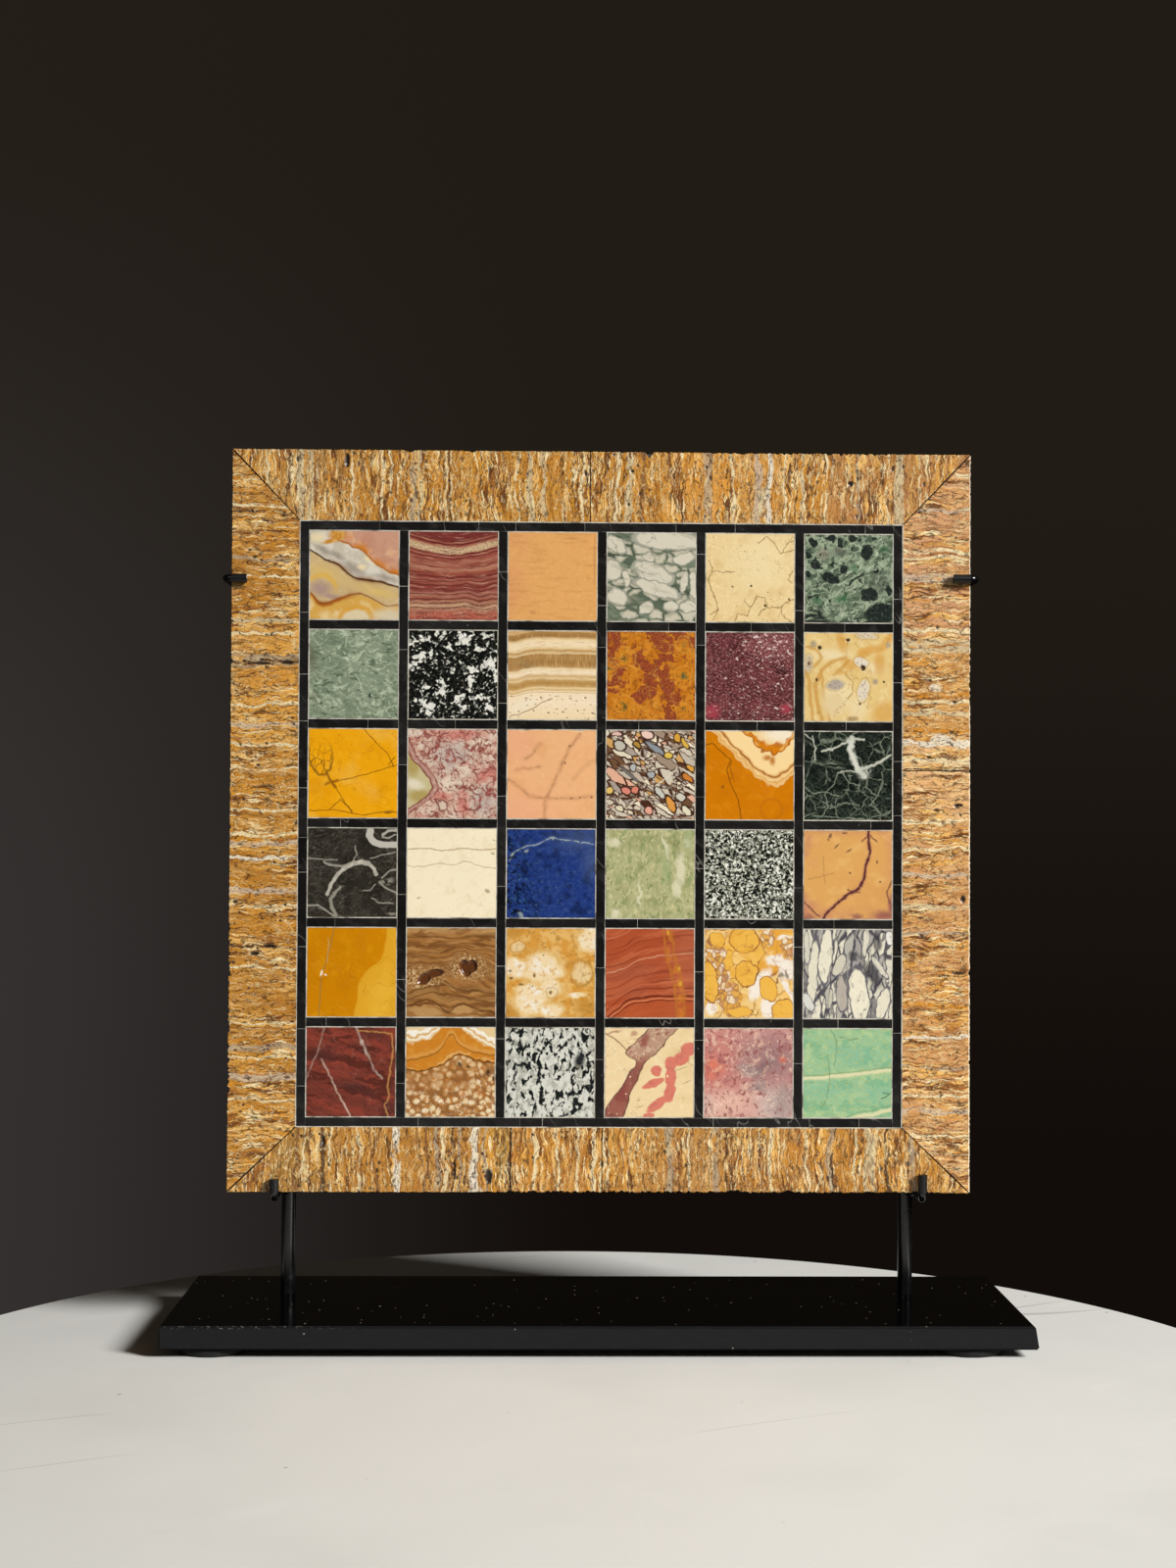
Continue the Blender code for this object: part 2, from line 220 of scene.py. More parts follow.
class Place:
    """A point on a stone, and the patterns that can be read there."""

    def __init__(self, stone, socket):
        self.stone, self.socket = stone, socket
        self.split = None

    def axis(self, index):
        if self.split is None:
            self.split = self.stone.node("ShaderNodeSeparateXYZ", self)
        return Field(self.stone, self.split.outputs[index])

    @property
    def x(self):
        return self.axis(0)

    @property
    def y(self):
        return self.axis(1)

    def vector(self, operation, *others, output=0):
        node = self.stone.node("ShaderNodeVectorMath", self, *others, operation=operation)
        return node.outputs[output]

    def turned(self, size, stretch=(1, 1), turn=0, seed=0):
        """The same place in units of size, so that a texture of scale 1 comes out that large."""
        scale = (size * stretch[0], size * stretch[1], size)
        shift = (seed * 3.7, seed * -2.3, seed * 1.9)
        node = self.stone.node("ShaderNodeMapping", self, shift,
                               (0, 0, math.radians(turn)), scale, vector_type="TEXTURE")
        return Place(self.stone, node.outputs[0])

    def noise(self, size, seed, detail, stretch=(1, 1), turn=0, twist=0):
        return self.stone.node("ShaderNodeTexNoise", {
            0: self.turned(size, stretch, turn, seed), "Scale": 1, "Detail": detail,
            "Roughness": 0.5, "Distortion": twist})

    def clouds(self, size, seed=0, detail=2, **kind):
        """Soft noise, around 0.5."""
        return Field(self.stone, self.noise(size, seed, detail, **kind).outputs[0])

    def threads(self, size, width, seed=0, detail=2, **kind):
        """Thin wandering lines, where the noise passes through its middle."""
        return abs(self.clouds(size, seed, detail, **kind) - 0.5).fall(0.0, width)

    def cells(self, feature, size, seed=0, stretch=(1, 1), turn=0):
        return self.stone.node("ShaderNodeTexVoronoi", {
            0: self.turned(size, stretch, turn, seed), "Scale": 1, "Randomness": 1},
            feature=feature).outputs

    def lumps(self, size, *kind, **more):
        """Distance in from the edge of the nearest lump, in lump sizes."""
        return Field(self.stone, self.cells("DISTANCE_TO_EDGE", size, *kind, **more)[0])

    def spots(self, size, *kind, **more):
        """Distance from the nearest spot's middle, in lump sizes."""
        return Field(self.stone, self.cells("F1", size, *kind, **more)[0])

    def kinds(self, size, *kind, **more):
        """A number from 0 to 1 that is the same all over one lump."""
        colour = self.cells("F1", size, *kind, **more)[1]
        return Field(self.stone, self.stone.node("ShaderNodeSeparateColor", colour).outputs[0])

    def warped(self, amount, size, seed=0, detail=2):
        """A place that wanders by up to about amount over distances of size."""
        noise = Place(self.stone, self.noise(size, seed, detail).outputs[1])
        drift = Place(self.stone, noise.vector("SUBTRACT", (0.5, 0.5, 0.5)))
        step = drift.vector("MULTIPLY", (2 * amount, 2 * amount, 0))
        return Place(self.stone, self.vector("ADD", step))

    def away(self, x, y, stretch=(1, 1), turn=0):
        """Distance from a point, or from an ellipse's middle in its own half widths."""
        node = self.stone.node("ShaderNodeMapping", self, (x, y, 0), (0, 0, math.radians(turn)),
                               (*stretch, FLAT), vector_type="TEXTURE")
        return Field(self.stone, Place(self.stone, node.outputs[0]).vector("LENGTH", output=1))

    def blobs(self, shapes, soft=0.2):
        """Covers ellipses written as x, y, half width, half height and turn."""
        cover = None
        for x, y, wide, tall, *turn in marks(shapes):
            one = self.away(x, y, (wide, tall), *turn).fall(1 - soft, 1 + soft)
            cover = one if cover is None else cover.most(one)
        return cover

    def drop(self, points):
        """How far below a smooth line across the stone we are. Its points are x and y."""
        return self.y - self.profile(self.x, points)

    def beyond(self, points):
        """How far to the right of a smooth line down the stone. Its points are y and x."""
        return self.x - self.profile(self.y, points)

    def profile(self, along, points):
        node = self.stone.node("ShaderNodeFloatCurve", 1.0, along)
        curve = node.mapping.curves[0]
        first, *others, last = marks(points)
        curve.points[0].location, curve.points[1].location = first, last
        for x, y in others:
            curve.points.new(x, y)
        node.mapping.use_clip = False
        node.mapping.update()
        return Field(self.stone, node.outputs[0])

    def stroke(self, *lines):
        """Distance to the nearest of some broken lines."""
        nearest = None
        for line in lines:
            points, distance = marks(line), None
            for start, end in zip(points, points[1:]):
                node = self.stone.node("ShaderNodeGroup", node_tree=stroke_group())
                for socket, value in zip(node.inputs, (self, (*start, 0), (*end, 0))):
                    feed(self.stone.tree, socket, value)
                one = Field(self.stone, node.outputs[0])
                distance = one if distance is None else distance.least(one)
            nearest = distance if nearest is None else nearest.least(distance)
        return nearest


def stroke_group():
    """A node group that measures the distance from a point to one straight stroke."""
    group = bpy.data.node_groups.get("distance_to_a_stroke")
    if group:
        return group
    group = bpy.data.node_groups.new("distance_to_a_stroke", "ShaderNodeTree")
    for name in ("Point", "Start", "End"):
        group.interface.new_socket(name, in_out="INPUT", socket_type="NodeSocketVector")
    group.interface.new_socket("Distance", in_out="OUTPUT", socket_type="NodeSocketFloat")
    given = group.nodes.new("NodeGroupInput").outputs
    result = group.nodes.new("NodeGroupOutput").inputs[0]

    def step(operation, *inputs, kind="ShaderNodeVectorMath", **settings):
        return add_node(group, kind, *inputs, operation=operation, **settings).outputs

    flat = step("MULTIPLY", given[0], (1, 1, 0))[0]
    from_start = step("SUBTRACT", flat, given[1])[0]
    along = step("SUBTRACT", given[2], given[1])[0]
    reach = step("DOT_PRODUCT", from_start, along)[1]
    length = step("DOT_PRODUCT", along, along)[1]
    share = step("DIVIDE", reach, length, kind="ShaderNodeMath", use_clamp=True)[0]
    nearest = step("SCALE", {0: along, "Scale": share})[0]
    apart = step("SUBTRACT", from_start, nearest)[0]
    group.links.new(step("LENGTH", apart)[1], result)
    return group


# %% [markdown]
# A `Stone` is painted like a layered picture. It has a ground colour, layers are laid over it
# where a mask says so, and at the end the colour goes to a Principled shader. Polish isn't even
# on a real tablet, so the roughness drifts a little and fine scratches catch the light. Colours
# are written as the hex codes that a painter would pick, and turned into Blender's linear values.

# %% Stones: layered materials


def linear(code):
    """A hex colour as linear RGBA."""
    parts = [int(code[i:i + 2], 16) / 255 for i in (0, 2, 4)]
    return (*(((p + 0.055) / 1.055) ** 2.4 if p > 0.04045 else p / 12.92 for p in parts), 1.0)


class Stone:
    """A polished stone, painted in layers."""

    def __init__(self, name, corner, unit, upright=False):
        self.material = bpy.data.materials.new(name)
        self.material.use_nodes = True
        self.tree = self.material.node_tree
        self.shader = self.tree.nodes["Principled BSDF"]
        where = self.node("ShaderNodeTexCoord").outputs["Object"]
        scale = 1 / unit
        quarter = math.pi / 2
        if upright:  # x runs down the piece, and y across it to the left
            turn, shift = (quarter, 0, -quarter), (corner[2], corner[0], -corner[1])
        else:
            turn, shift = (quarter, 0, 0), (-corner[0], corner[2], -corner[1])
        placed = self.node("ShaderNodeMapping", Place(self, where),
                           tuple(part * scale for part in shift), turn, (scale,) * 3)
        self.at = Place(self, placed.outputs[0])

    def node(self, kind, *inputs, **settings):
        return add_node(self.tree, kind, *inputs, **settings)

    def ground(self, colour):
        """The colour that everything else is laid over, or a socket with one."""
        self.colour = linear(colour) if isinstance(colour, str) else colour

    def lay(self, colour, where, much=1):
        """Covers the stone with a colour as far as the mask says, or with a share of that."""
        if isinstance(colour, str):
            colour = linear(colour)
        where = where if much == 1 else where * much
        mix = self.node("ShaderNodeMix", {0: where, 6: self.colour, 7: colour}, data_type="RGBA")
        self.colour = mix.outputs[2]

    def draw(self, colour, distance, width, soft=0.006, much=1):
        """Lays a line where the distance to it is under its half width."""
        self.lay(colour, distance.fall(width, width + soft) * much)

    def lines(self, place, colour, width, soft, much, *lines):
        """Draws broken lines that are alike."""
        for line in lines:
            self.draw(colour, place.stroke(line), width, soft, much)

    def clouds(self, place, colour, size, seed, detail, low, high, much=1, **kind):
        """Lays a colour where the clouds of a place rise from low to high."""
        self.lay(colour, place.clouds(size, seed, detail, **kind).rise(low, high), much)

    def mottle(self, place, light, dark, size, seed, much):
        """Two sizes of soft mottling, lighter and darker than the ground."""
        self.clouds(place, light, size, seed, 4, 0.5, 0.7, much)
        self.clouds(place, dark, size * 3.5, seed + 5, 5, 0.48, 0.72, much)

    def specks(self, place, colour, size, seed, near, far, low, high, much=1, **kind):
        """Lays specks with a soft edge from near to far, where their lump's kind is high."""
        spots = place.spots(size, seed, **kind).fall(near, far)
        self.lay(colour, spots * place.kinds(size, seed, **kind).rise(low, high), much)

    def ramp(self, field, stops, mode="LINEAR"):
        """A colour picked by a field from stops. Their places are in hundredths."""
        stops = rows(stops)
        node = self.node("ShaderNodeValToRGB", field)
        node.color_ramp.interpolation = mode
        elements = node.color_ramp.elements
        while len(elements) < len(stops):
            elements.new(1.0)
        for element, (position, colour) in zip(elements, stops):
            element.position = position / 100
            element.color = linear(colour)
        return node.outputs[0]

    def finish(self, rough, unit=1, deep=None):
        """Joins the layers to the shader, with an uneven polish and fine scratches.

        Where the mesh is hollow, the stone takes the deep colour."""
        if deep:
            hollow = self.node("ShaderNodeAttribute", attribute_name="hollow").outputs["Fac"]
            self.lay(deep, Field(self, hollow))
        at = self.at
        scratches = at.turned(unit).threads(0.9, 0.004, 31, 4, stretch=(3, 0.4), turn=38)
        polish = at.clouds(0.35 * unit, 30, 3) * 0.14 + (rough - 0.05) + scratches * 0.15
        feed(self.tree, self.shader.inputs["Base Color"], self.colour)
        feed(self.tree, self.shader.inputs["Roughness"], polish)
        self.material.diffuse_color = (0.5, 0.5, 0.5, 1)
        return self.material


print("the stones' helpers are ready")

# %% [markdown]
# A mason saws each square from a slab, rubs its face flat and drops it in its cell. Its edges
# aren't perfect: the saw wanders by a tenth of a millimetre, corners chip, and no two squares
# end at quite the same level. A Bevel modifier would give every edge the same clean line, so we
# build the block from a grid ourselves. The outline wanders inwards, and an arris of uneven
# width runs round the face. Pits are real hollows, and an attribute tells the material where.

# %% A sawn block with a worn outline
ARRIS, RUBBED_ARRIS = 0.15 * MM, 0.4 * MM  # widths of a sharp edge's arris and of a soft one's
SINKS, RUBBED_SINKS = 0.15 * MM, 0.25 * MM  # how far the rim lies below the face
WEAR_REACH = 4 * MM  # a worn outline pulls the face with it as far in as this
SWELL = 0.02 * MM  # a rubbed face isn't quite flat
FULL_HOLLOW = 0.3 * MM  # a pit this deep shows the deep colour in full


def drift(count, knots, rng):
    """A smooth random run of values from 0 to 1."""
    places = np.linspace(0, 1, max(int(knots), 2) + 1)
    return np.interp(np.linspace(0, 1, count), places, rng.random(len(places)))


def grid_steps(length, spacing, first, last):
    """Places along a side, with a narrow step at each end for the arris."""
    inner = np.linspace(first, length - last, max(int(round(length / spacing)), 1) + 1)
    return np.concatenate([[0.0], inner, [length]]) / length


def four_sides(grid):
    """The rows and columns of a grid that lie along its sides."""
    return {"top": grid[0], "bottom": grid[-1], "left": grid[:, 0], "right": grid[:, -1]}


def sawn_block(name, corners, front, back, rng, spacing=1.2 * MM, wear=0.12 * MM,
               bites=None, hollows=None, level=0.0, softened=()):
    """A block whose front outline runs through four corners, top left first and clockwise.

    bites maps a side to a function of the places along it that says how far the edge is worn
    in. hollows gives the depth of the face at each place, which pits it. A softened side has
    a wide arris, rubbed by hands."""
    top_left, top_right, low_right, low_left = (np.array(c) for c in corners)
    width = np.linalg.norm(top_right - top_left)
    height = np.linalg.norm(low_left - top_left)
    arris = {side: RUBBED_ARRIS if side in softened else ARRIS
             for side in ("top", "bottom", "left", "right")}
    u = grid_steps(width, spacing, arris["left"], arris["right"])[None, :, None]
    v = grid_steps(height, spacing, arris["top"], arris["bottom"])[:, None, None]
    points = ((1 - v) * ((1 - u) * top_left + u * top_right)
              + v * ((1 - u) * low_left + u * low_right))
    grid = points.shape[:2]
    shift = np.zeros_like(points)
    for side, sign, axis in (("top", -1, 1), ("bottom", 1, 1), ("left", 1, 0), ("right", -1, 0)):
        edge = four_sides(points)[side]
        length = width if axis else height
        worn = wear * drift(len(edge), length / (3 * MM), rng) * drift(len(edge), length / MM, rng)
        if bites and side in bites:
            worn = worn + bites[side](edge)
        across = {"top": v, "bottom": 1 - v, "left": u, "right": 1 - u}[side][..., 0]
        depth = across * (height if axis else width)
        worn = worn[None, :] if axis else worn[:, None]
        shift[..., axis] += sign * worn * np.clip(1 - depth / WEAR_REACH, 0, 1)
    points = points + shift
    sunk = hollows(points) if hollows else np.zeros(grid)
    surface = level + sunk + SWELL * (np.sin(points[..., 0] * 190 + points[..., 1] * 140) + 1)
    rim = np.ones(grid, bool)
    rim[1:-1, 1:-1] = False
    surface[rim] += SINKS * (0.7 + 0.8 * rng.random(rim.sum()))
    edges = four_sides(surface)
    for side in softened:
        edges[side] += RUBBED_SINKS
    inwards = 1 if back > front else -1
    surface = front + inwards * surface
    places = np.concatenate([points, surface[..., None]], axis=2).reshape(-1, 3)
    verts = [(x, y, z) for x, z, y in places]
    number = np.arange(rim.size).reshape(grid)
    faces = np.stack([number[:-1, :-1], number[1:, :-1], number[1:, 1:], number[:-1, 1:]],
                     axis=-1).reshape(-1, 4).tolist()
    loop = np.concatenate([number[0, :-1], number[:-1, -1], number[-1, :0:-1], number[:0:-1, 0]])
    first_back = len(verts)
    verts += [(verts[i][0], back, verts[i][2]) for i in loop]
    count = len(loop)
    for step in range(count):
        after = (step + 1) % count
        faces.append((loop[step], loop[after], first_back + after, first_back + step))
    faces.append(tuple(range(first_back, first_back + count)))
    mesh = bpy.data.meshes.new(name)
    mesh.from_pydata(verts, [], [tuple(int(i) for i in face[::inwards]) for face in faces])
    hollow = mesh.attributes.new("hollow", "FLOAT", "POINT")
    deep = np.concatenate([np.clip(sunk / FULL_HOLLOW, 0, 1).ravel(), np.zeros(count)])
    hollow.data.foreach_set("value", deep.astype(np.float32))
    mesh.shade_smooth()
    mesh.set_sharp_from_angle(angle=SHARP)
    return put(name, mesh)


def box_corners(left, top, right, bottom):
    """The corners of an upright box, top left first and clockwise."""
    return [(left, top), (right, top), (right, bottom), (left, bottom)]


def settle(piece, slot, *replaced):
    """Puts a finished piece on the object's one body, in place of its CAD nodes."""
    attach(piece, "root")
    if replaced:
        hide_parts(*replaced)
    return piece


def dimples(*pits):
    """Hollows from a list of (x, y, half width, half height, turn in degrees, depth)."""
    def depth(points):
        total = np.zeros(points.shape[:2])
        for x, y, across, down, turn, sunk in pits:
            dx, dy = points[..., 0] - x, points[..., 1] - y
            c, s = math.cos(math.radians(turn)), math.sin(math.radians(turn))
            ring = np.hypot((dx * c + dy * s) / across, (dy * c - dx * s) / down)
            total = np.maximum(total, sunk * np.clip(1.35 - ring, 0, 0.5) * 2)
        return total
    return depth


print("a block is worn by up to 0.12 mm along its edges")

# %% [markdown]
# Four of the stones have hollows of their own that the polish never closed. The brown onyx has
# two open cavities, the golden fossil marble small dark holes, the banded alabaster rows of
# pits, and the rosa marble lost chips along its top edge. They are written as x, y, half width
# and half height in hundredths of a square, with y down, then the turn, and the depth in
# millimetres, and turned into places on the tablet.

# %% Cut the thirty-six squares
CAVITIES = {
    "brown_onyx": "20 57 7 4.5 35 .9, 31 51 8.5 3.5 10 .8, 66 45 5 8 20 1, 73 43 5 6 -15 .9",
    "golden_fossil_marble": "66 39 2.2 2.2 0 .5, 17 17 2 2 0 .4, 49 8 2 1.5 0 .4",
    "banded_alabaster": ", ".join(f"{4 + 8.3 * i} {74 + 1.2 * (i % 3) + 16 * (i % 2)}"
                                  f" {0.9 + 0.3 * (i % 3)} .7 0 .25" for i in range(12)),
    "rosa_marble": "18 0 5 1.4 0 .3, 47 0 3 1.2 0 .25, 80 0 6 1.6 0 .3",
}

squares = {}
for index, (stone_name, node) in enumerate(SPECIMENS.items()):
    low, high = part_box(node)
    rng = np.random.default_rng(100 + index)
    pits = [(low[0] + x * SIDE, high[2] - y * SIDE, a * SIDE, b * SIDE, turn, depth * MM)
            for x, y, a, b, turn, depth in marks(CAVITIES.get(stone_name, ""))]
    squares[stone_name] = sawn_block(
        f"square_{stone_name}", box_corners(low[0], high[2], high[0], low[2]),
        low[1], high[1], rng, spacing=(0.3 if pits else 1.2) * MM,
        hollows=dimples(*pits) if pits else None, level=0.06 * MM * rng.random())
    settle(squares[stone_name], stone_name, node)
print(f"cut {len(squares)} squares of {SIDE / MM:.1f} mm")

# %% [markdown]
# Now the stones. Each one gets a short function that paints it in layers, registered under its
# own name, and a cell after the last group hands them all to the squares. We go by kinds, because
# stones of one kind are painted in one way. First come the plain and clouded marbles and
# limestones. What keeps them from looking like paint is faint: two sizes of mottling, a warmer
# corner, hairlines that wander, and specks.

# %% Plain and clouded stones
PAINTERS = {}


def paints(ground, rough, deep=None):
    """Registers a painter under its own name, with its ground, its polish and its deep colour."""
    def register(painter):
        PAINTERS[painter.__name__] = painter, ground, rough, deep
        return painter
    return register


@paints("e6aa65", .24)
def peach_marble(s, at):
    s.mottle(at, "efbb75", "dba25b", .035, 3, .5)
    s.lay("dd9568", at.x.fall(-.1, .45) * at.clouds(.3, 4, 3).rise(.3, .6), .6)
    s.clouds(at, "c98d4e", .1, 6, 5, .5, .66, .4, stretch=(2.5, .5))
    s.lay("a86f3c", at.blobs("28 91 3 2, 72 7 8 1.5, 97 30 1 30", soft=.7), .4)
    s.lay("a8713c", at.spots(.06, 2).fall(.04, .14), .35)


@paints("f0b682", .22, deep="f4dcb4")
def rosa_marble(s, at):
    s.mottle(at, "f4bf8a", "e4a46c", .06, 2, .5)
    s.lay("efab86", at.blobs("10 95 40 25, 10 10 20 30", soft=.8), .6)
    w = at.warped(.03, .1, 3, 5)
    main = w.stroke("82 5, 70 20, 62 38, 50 65, 43 78, 42 100")
    low = w.stroke("0 55, 15 65, 25 75, 45 77, 70 77, 95 75")
    side = w.stroke("37 15, 28 27, 20 33", "10 45, 37 42")
    short = w.stroke("100 33, 85 42, 75 55")
    for distance, much in ((main, .5), (low, .45), (side, .4), (short, .3)):
        s.draw("c48a5e", distance, 0, .045, much)
    fine = main.least(low).least(side)
    s.lay("9a6a48", fine.fall(0, .012) * at.clouds(.04, 8, 3).rise(.42, .6), .65)
    s.lay("6a4230", at.blobs("70 18 1.2 1, 65 37 1.3 1.2, 72 77 1.2 1, 82 76 .9 .9, "
            "95 75.5 1.2 1.2", soft=.4), .8)


@paints("f9ebcb", .3)
def ivory_limestone(s, at):
    s.mottle(at, "fbf0d8", "eeddb6", .04, 4, .6)
    w = at.warped(.018, .05, 2, 5)
    for line, much in (("0 23.5, 20 22.5, 40 24.5, 62 22.5, 80 24, 100 22", .8),
            ("0 42, 20 42.5, 36 39, 52 41, 66 37, 80 42, 100 44", .55)):
        s.draw("a88a5c", abs(w.drop(line)), .001, .01, much)
    s.specks(at, "cbb184", .045, 3, .06, .16, .6, .7, .8)
    s.lay("8a7048", at.blobs("97 13 2 .6 20, 96 28 2 1.2 15, 13 78 2 .8 -20, 90 70 3 2 30",
            soft=.6), .7)
    s.lay("dfc99a", w.threads(.5, .006, 7, 3), .4)


@paints("ebd098", .32)
def crackled_limestone(s, at):
    s.mottle(at, "f5e1b0", "dbb878", .035, 6, .6)
    s.lay("f4e2b4", at.blobs("62 30 30 28", soft=.8), .5)
    w = at.warped(.028, .05, 2, 5)
    s.lines(w, "8c6d3c", .001, .008, .85, "3 30, 8 42, 2 52, 10 72, 14 85, 8 98",
            "8 42, 20 44, 32 43", "14 85, 5 92", "33 100, 36 90, 47 93, 50 84, 43 75",
            "50 84, 55 76, 58 71, 67 73, 70 82, 63 86, 60 93", "70 83, 85 83, 86 92, 97 100",
            "85 83, 90 77, 100 74", "60 10, 68 3, 76 10, 80 15, 85 22, 100 18",
            "97 42, 93 52, 98 55", "85 22, 93 10, 100 8")
    s.lay("b0925a", w.threads(.2, .01, 9, 3) * at.clouds(.3, 6).rise(.48, .6), .6)
    specks = at.spots(.05, 5).fall(.08, .2) * at.kinds(.05, 5).rise(.6, .66)
    s.lay("94763f", specks, .8)
    s.lay("4f3a20", at.blobs("51 59 1.3 1.3, 94 74 1.6 1 60, 30 60 1 1, 67 81 1.8 1.5 40, "
            "70 66 .8 .6", soft=.3))


@paints("f2a80c", .2)
def giallo_antico(s, at):
    s.mottle(at, "f6b41e", "dc9004", .09, 2, .6)
    s.clouds(at, "f0bb4a", .5, 9, 3, .5, .68, .6)
    w = at.warped(.02, .1, 3, 4)
    s.lines(w, "754a12", .001, .008, .85, "63 0, 70 9, 80 20, 90 30, 96 43", "97 32, 90 40",
            "27 60, 42 57, 60 52, 80 47, 100 40", "20 50, 27 60, 36 75, 50 95",
            "25 90, 36 79, 50 93", "0 92, 30 91, 60 97, 85 93, 100 94")
    loops = at.warped(.03, .06, 5, 4)
    scribble = loops.away(.14, .3, (.13, .22), -5)
    net = loops.lumps(.07, 4, (.9, 1.3)).fall(.02, .09).most(abs(scribble - 1).fall(.03, .12))
    s.lay("7d5012", net * scribble.fall(1, 1.2) * at.y.rise(.05, .4), .8)
    s.lay("80490f", w.stroke("22 53, 30 66", "33 58, 20 62").fall(.002, .03), .7)
    s.lay("7d4a12", w.blobs("90 93 5 2", soft=.7), .7)
    s.lay("c07c10", w.threads(.3, .01, 4, 3), .5)
    s.lay("8a5a14", at.spots(.09, 4).fall(.05, .1), .6)


@paints("ce8402", .2)
def golden_marble(s, at):
    s.mottle(at, "da960c", "c07602", .12, 2, .6)
    w = at.warped(.025, .2, 5, 2)
    pale = w.beyond("0 87, 20 86, 35 82, 45 70, 60 58, 80 55, 100 52")
    s.lay("e0a528", pale.rise(-.006, .03))
    s.lay("e8b338", pale.rise(.03, .3) * at.clouds(.3, 6, 3).rise(.35, .6))
    s.lay("c47c0c", abs(w.x - .62).fall(.02, .06) * at.y.fall(.2, .6), .4)
    vein = w.stroke("30 0, 26 20, 22 40, 17 50, 15 75, 13 100")
    s.draw("94763e", vein, .001, .009, .8)
    s.lay("c4a468", w.stroke("24 12, 24 40").fall(0, .012), .6)
    s.lay("f7ead0", at.blobs("16.5 51 1.2 3.5 15, 21 53 2 .8 20", soft=.4))
    s.lay("a5690e", w.threads(.5, .006, 3, 3), .4)


@paints("dda55e", .22)
def veined_yellow_marble(s, at):
    s.mottle(at, "e8b872", "d0965a", .16, 6, .6)
    edge = at.x.fall(0, .25).most(at.y.rise(.8, 1.05))
    edge = edge.most(at.y.fall(-.05, .1)).most(at.x.rise(.85, 1.1))
    s.lay("c27f6a", edge * at.clouds(.3, 7, 4).rise(.4, .62), .8)
    rough = at.warped(.03, .05, 2, 5)
    s.lay("8a4a50", rough.blobs("93 95 14 5, 4 100 10 5, 100 85 4 12, 60 97 6 3", soft=.8), .8)
    w = at.warped(.018, .05, 3, 5)
    vein = w.stroke("73 0, 73 12, 75 25, 70 40, 68 55, 62 66, 50 72, 38 82, 26 93, 22 100")
    s.draw("b06f5c", vein, .01, .03, .7)
    s.draw("54282c", vein - w.clouds(.03, 4, 3) * .03, -.006, .008, .95)
    s.lines(w, "6a3838", .002, .014, .8, "66 12, 74 5, 82 12", "50 66, 56 70, 63 70",
            "0 80, 8 88, 18 97", "100 55, 94 70, 97 82")
    s.lay("5c3a34", w.blobs("30 6 2 2.5 30, 37 18 4 1.2 -45, 51 23 3.5 1 -35, 28 10 1 2, "
            "83 36 1.2 2, 52 48 1.2 1.2, 86 58 1.2 1.2, 46 3 3 1.2", soft=.5), .8)
    s.lay("a87a48", w.stroke("5 55, 35 48", "22 30, 24 60").fall(0, .012), .6)


@paints("b2b181", .26)
def pale_green_marble(s, at):
    s.mottle(at, "c6c596", "8f9360", .05, 8, .8)
    s.clouds(at, "8d9a66", .1, 3, 6, .5, .62, .7, stretch=(.7, 1.6), twist=.5)
    s.clouds(at, "d2cb9a", .045, 5, 4, .54, .66, .8, stretch=(.7, 1.3), twist=.6)
    s.clouds(at, "6f7d4c", .04, 11, 4, .58, .68, .8, stretch=(.8, 1.2))
    w = at.warped(.06, .09, 3, 4)
    s.lay("ded9b8", w.blobs("84 45 4.5 17, 80 66 5 10, 68 20 2 16 -15, 92 14 4 5, 10 14 7 5, "
            "38 73 1.8 14, 12 95 5 5", soft=.55), .85)
    s.lay("93a877", w.blobs("93 12 5 14, 68 45 5 20", soft=.8), .5)
    s.lay("8a7a44", at.spots(.11, 7).fall(.03, .08), .8)


@paints("84917a", .24)
def grey_green_marble(s, at):
    s.mottle(at, "98a68b", "67775f", .06, 2, .8)
    w = at.warped(.05, .12, 4, 4)
    for size, seed, colour, much, turn in ((.09, 3, "bac7aa", .9, -30), (.05, 6, "b4c2a4", .8, 20),
            (.07, 8, "c8d2b6", .7, 60), (.06, 9, "4c5b46", .8, 0)):
        s.lay(colour, w.clouds(size, seed, 5, stretch=(1.7, .6), turn=turn, twist=.8).rise(.55,
                .66) * much)
    s.clouds(at, "66745e", .3, 5, 3, .48, .66, .5)
    s.lay("6c6650", at.x.fall(.02, .14) * w.clouds(.15, 5, 3).rise(.42, .6), .5)
    s.lay("333f36", w.blobs("90 22 2.5 1.2, 68 74 1.8 2.2, 15 83 2 1.4, 16 33 1.2 1, "
            "97 95 1.5 2", soft=.5), .85)


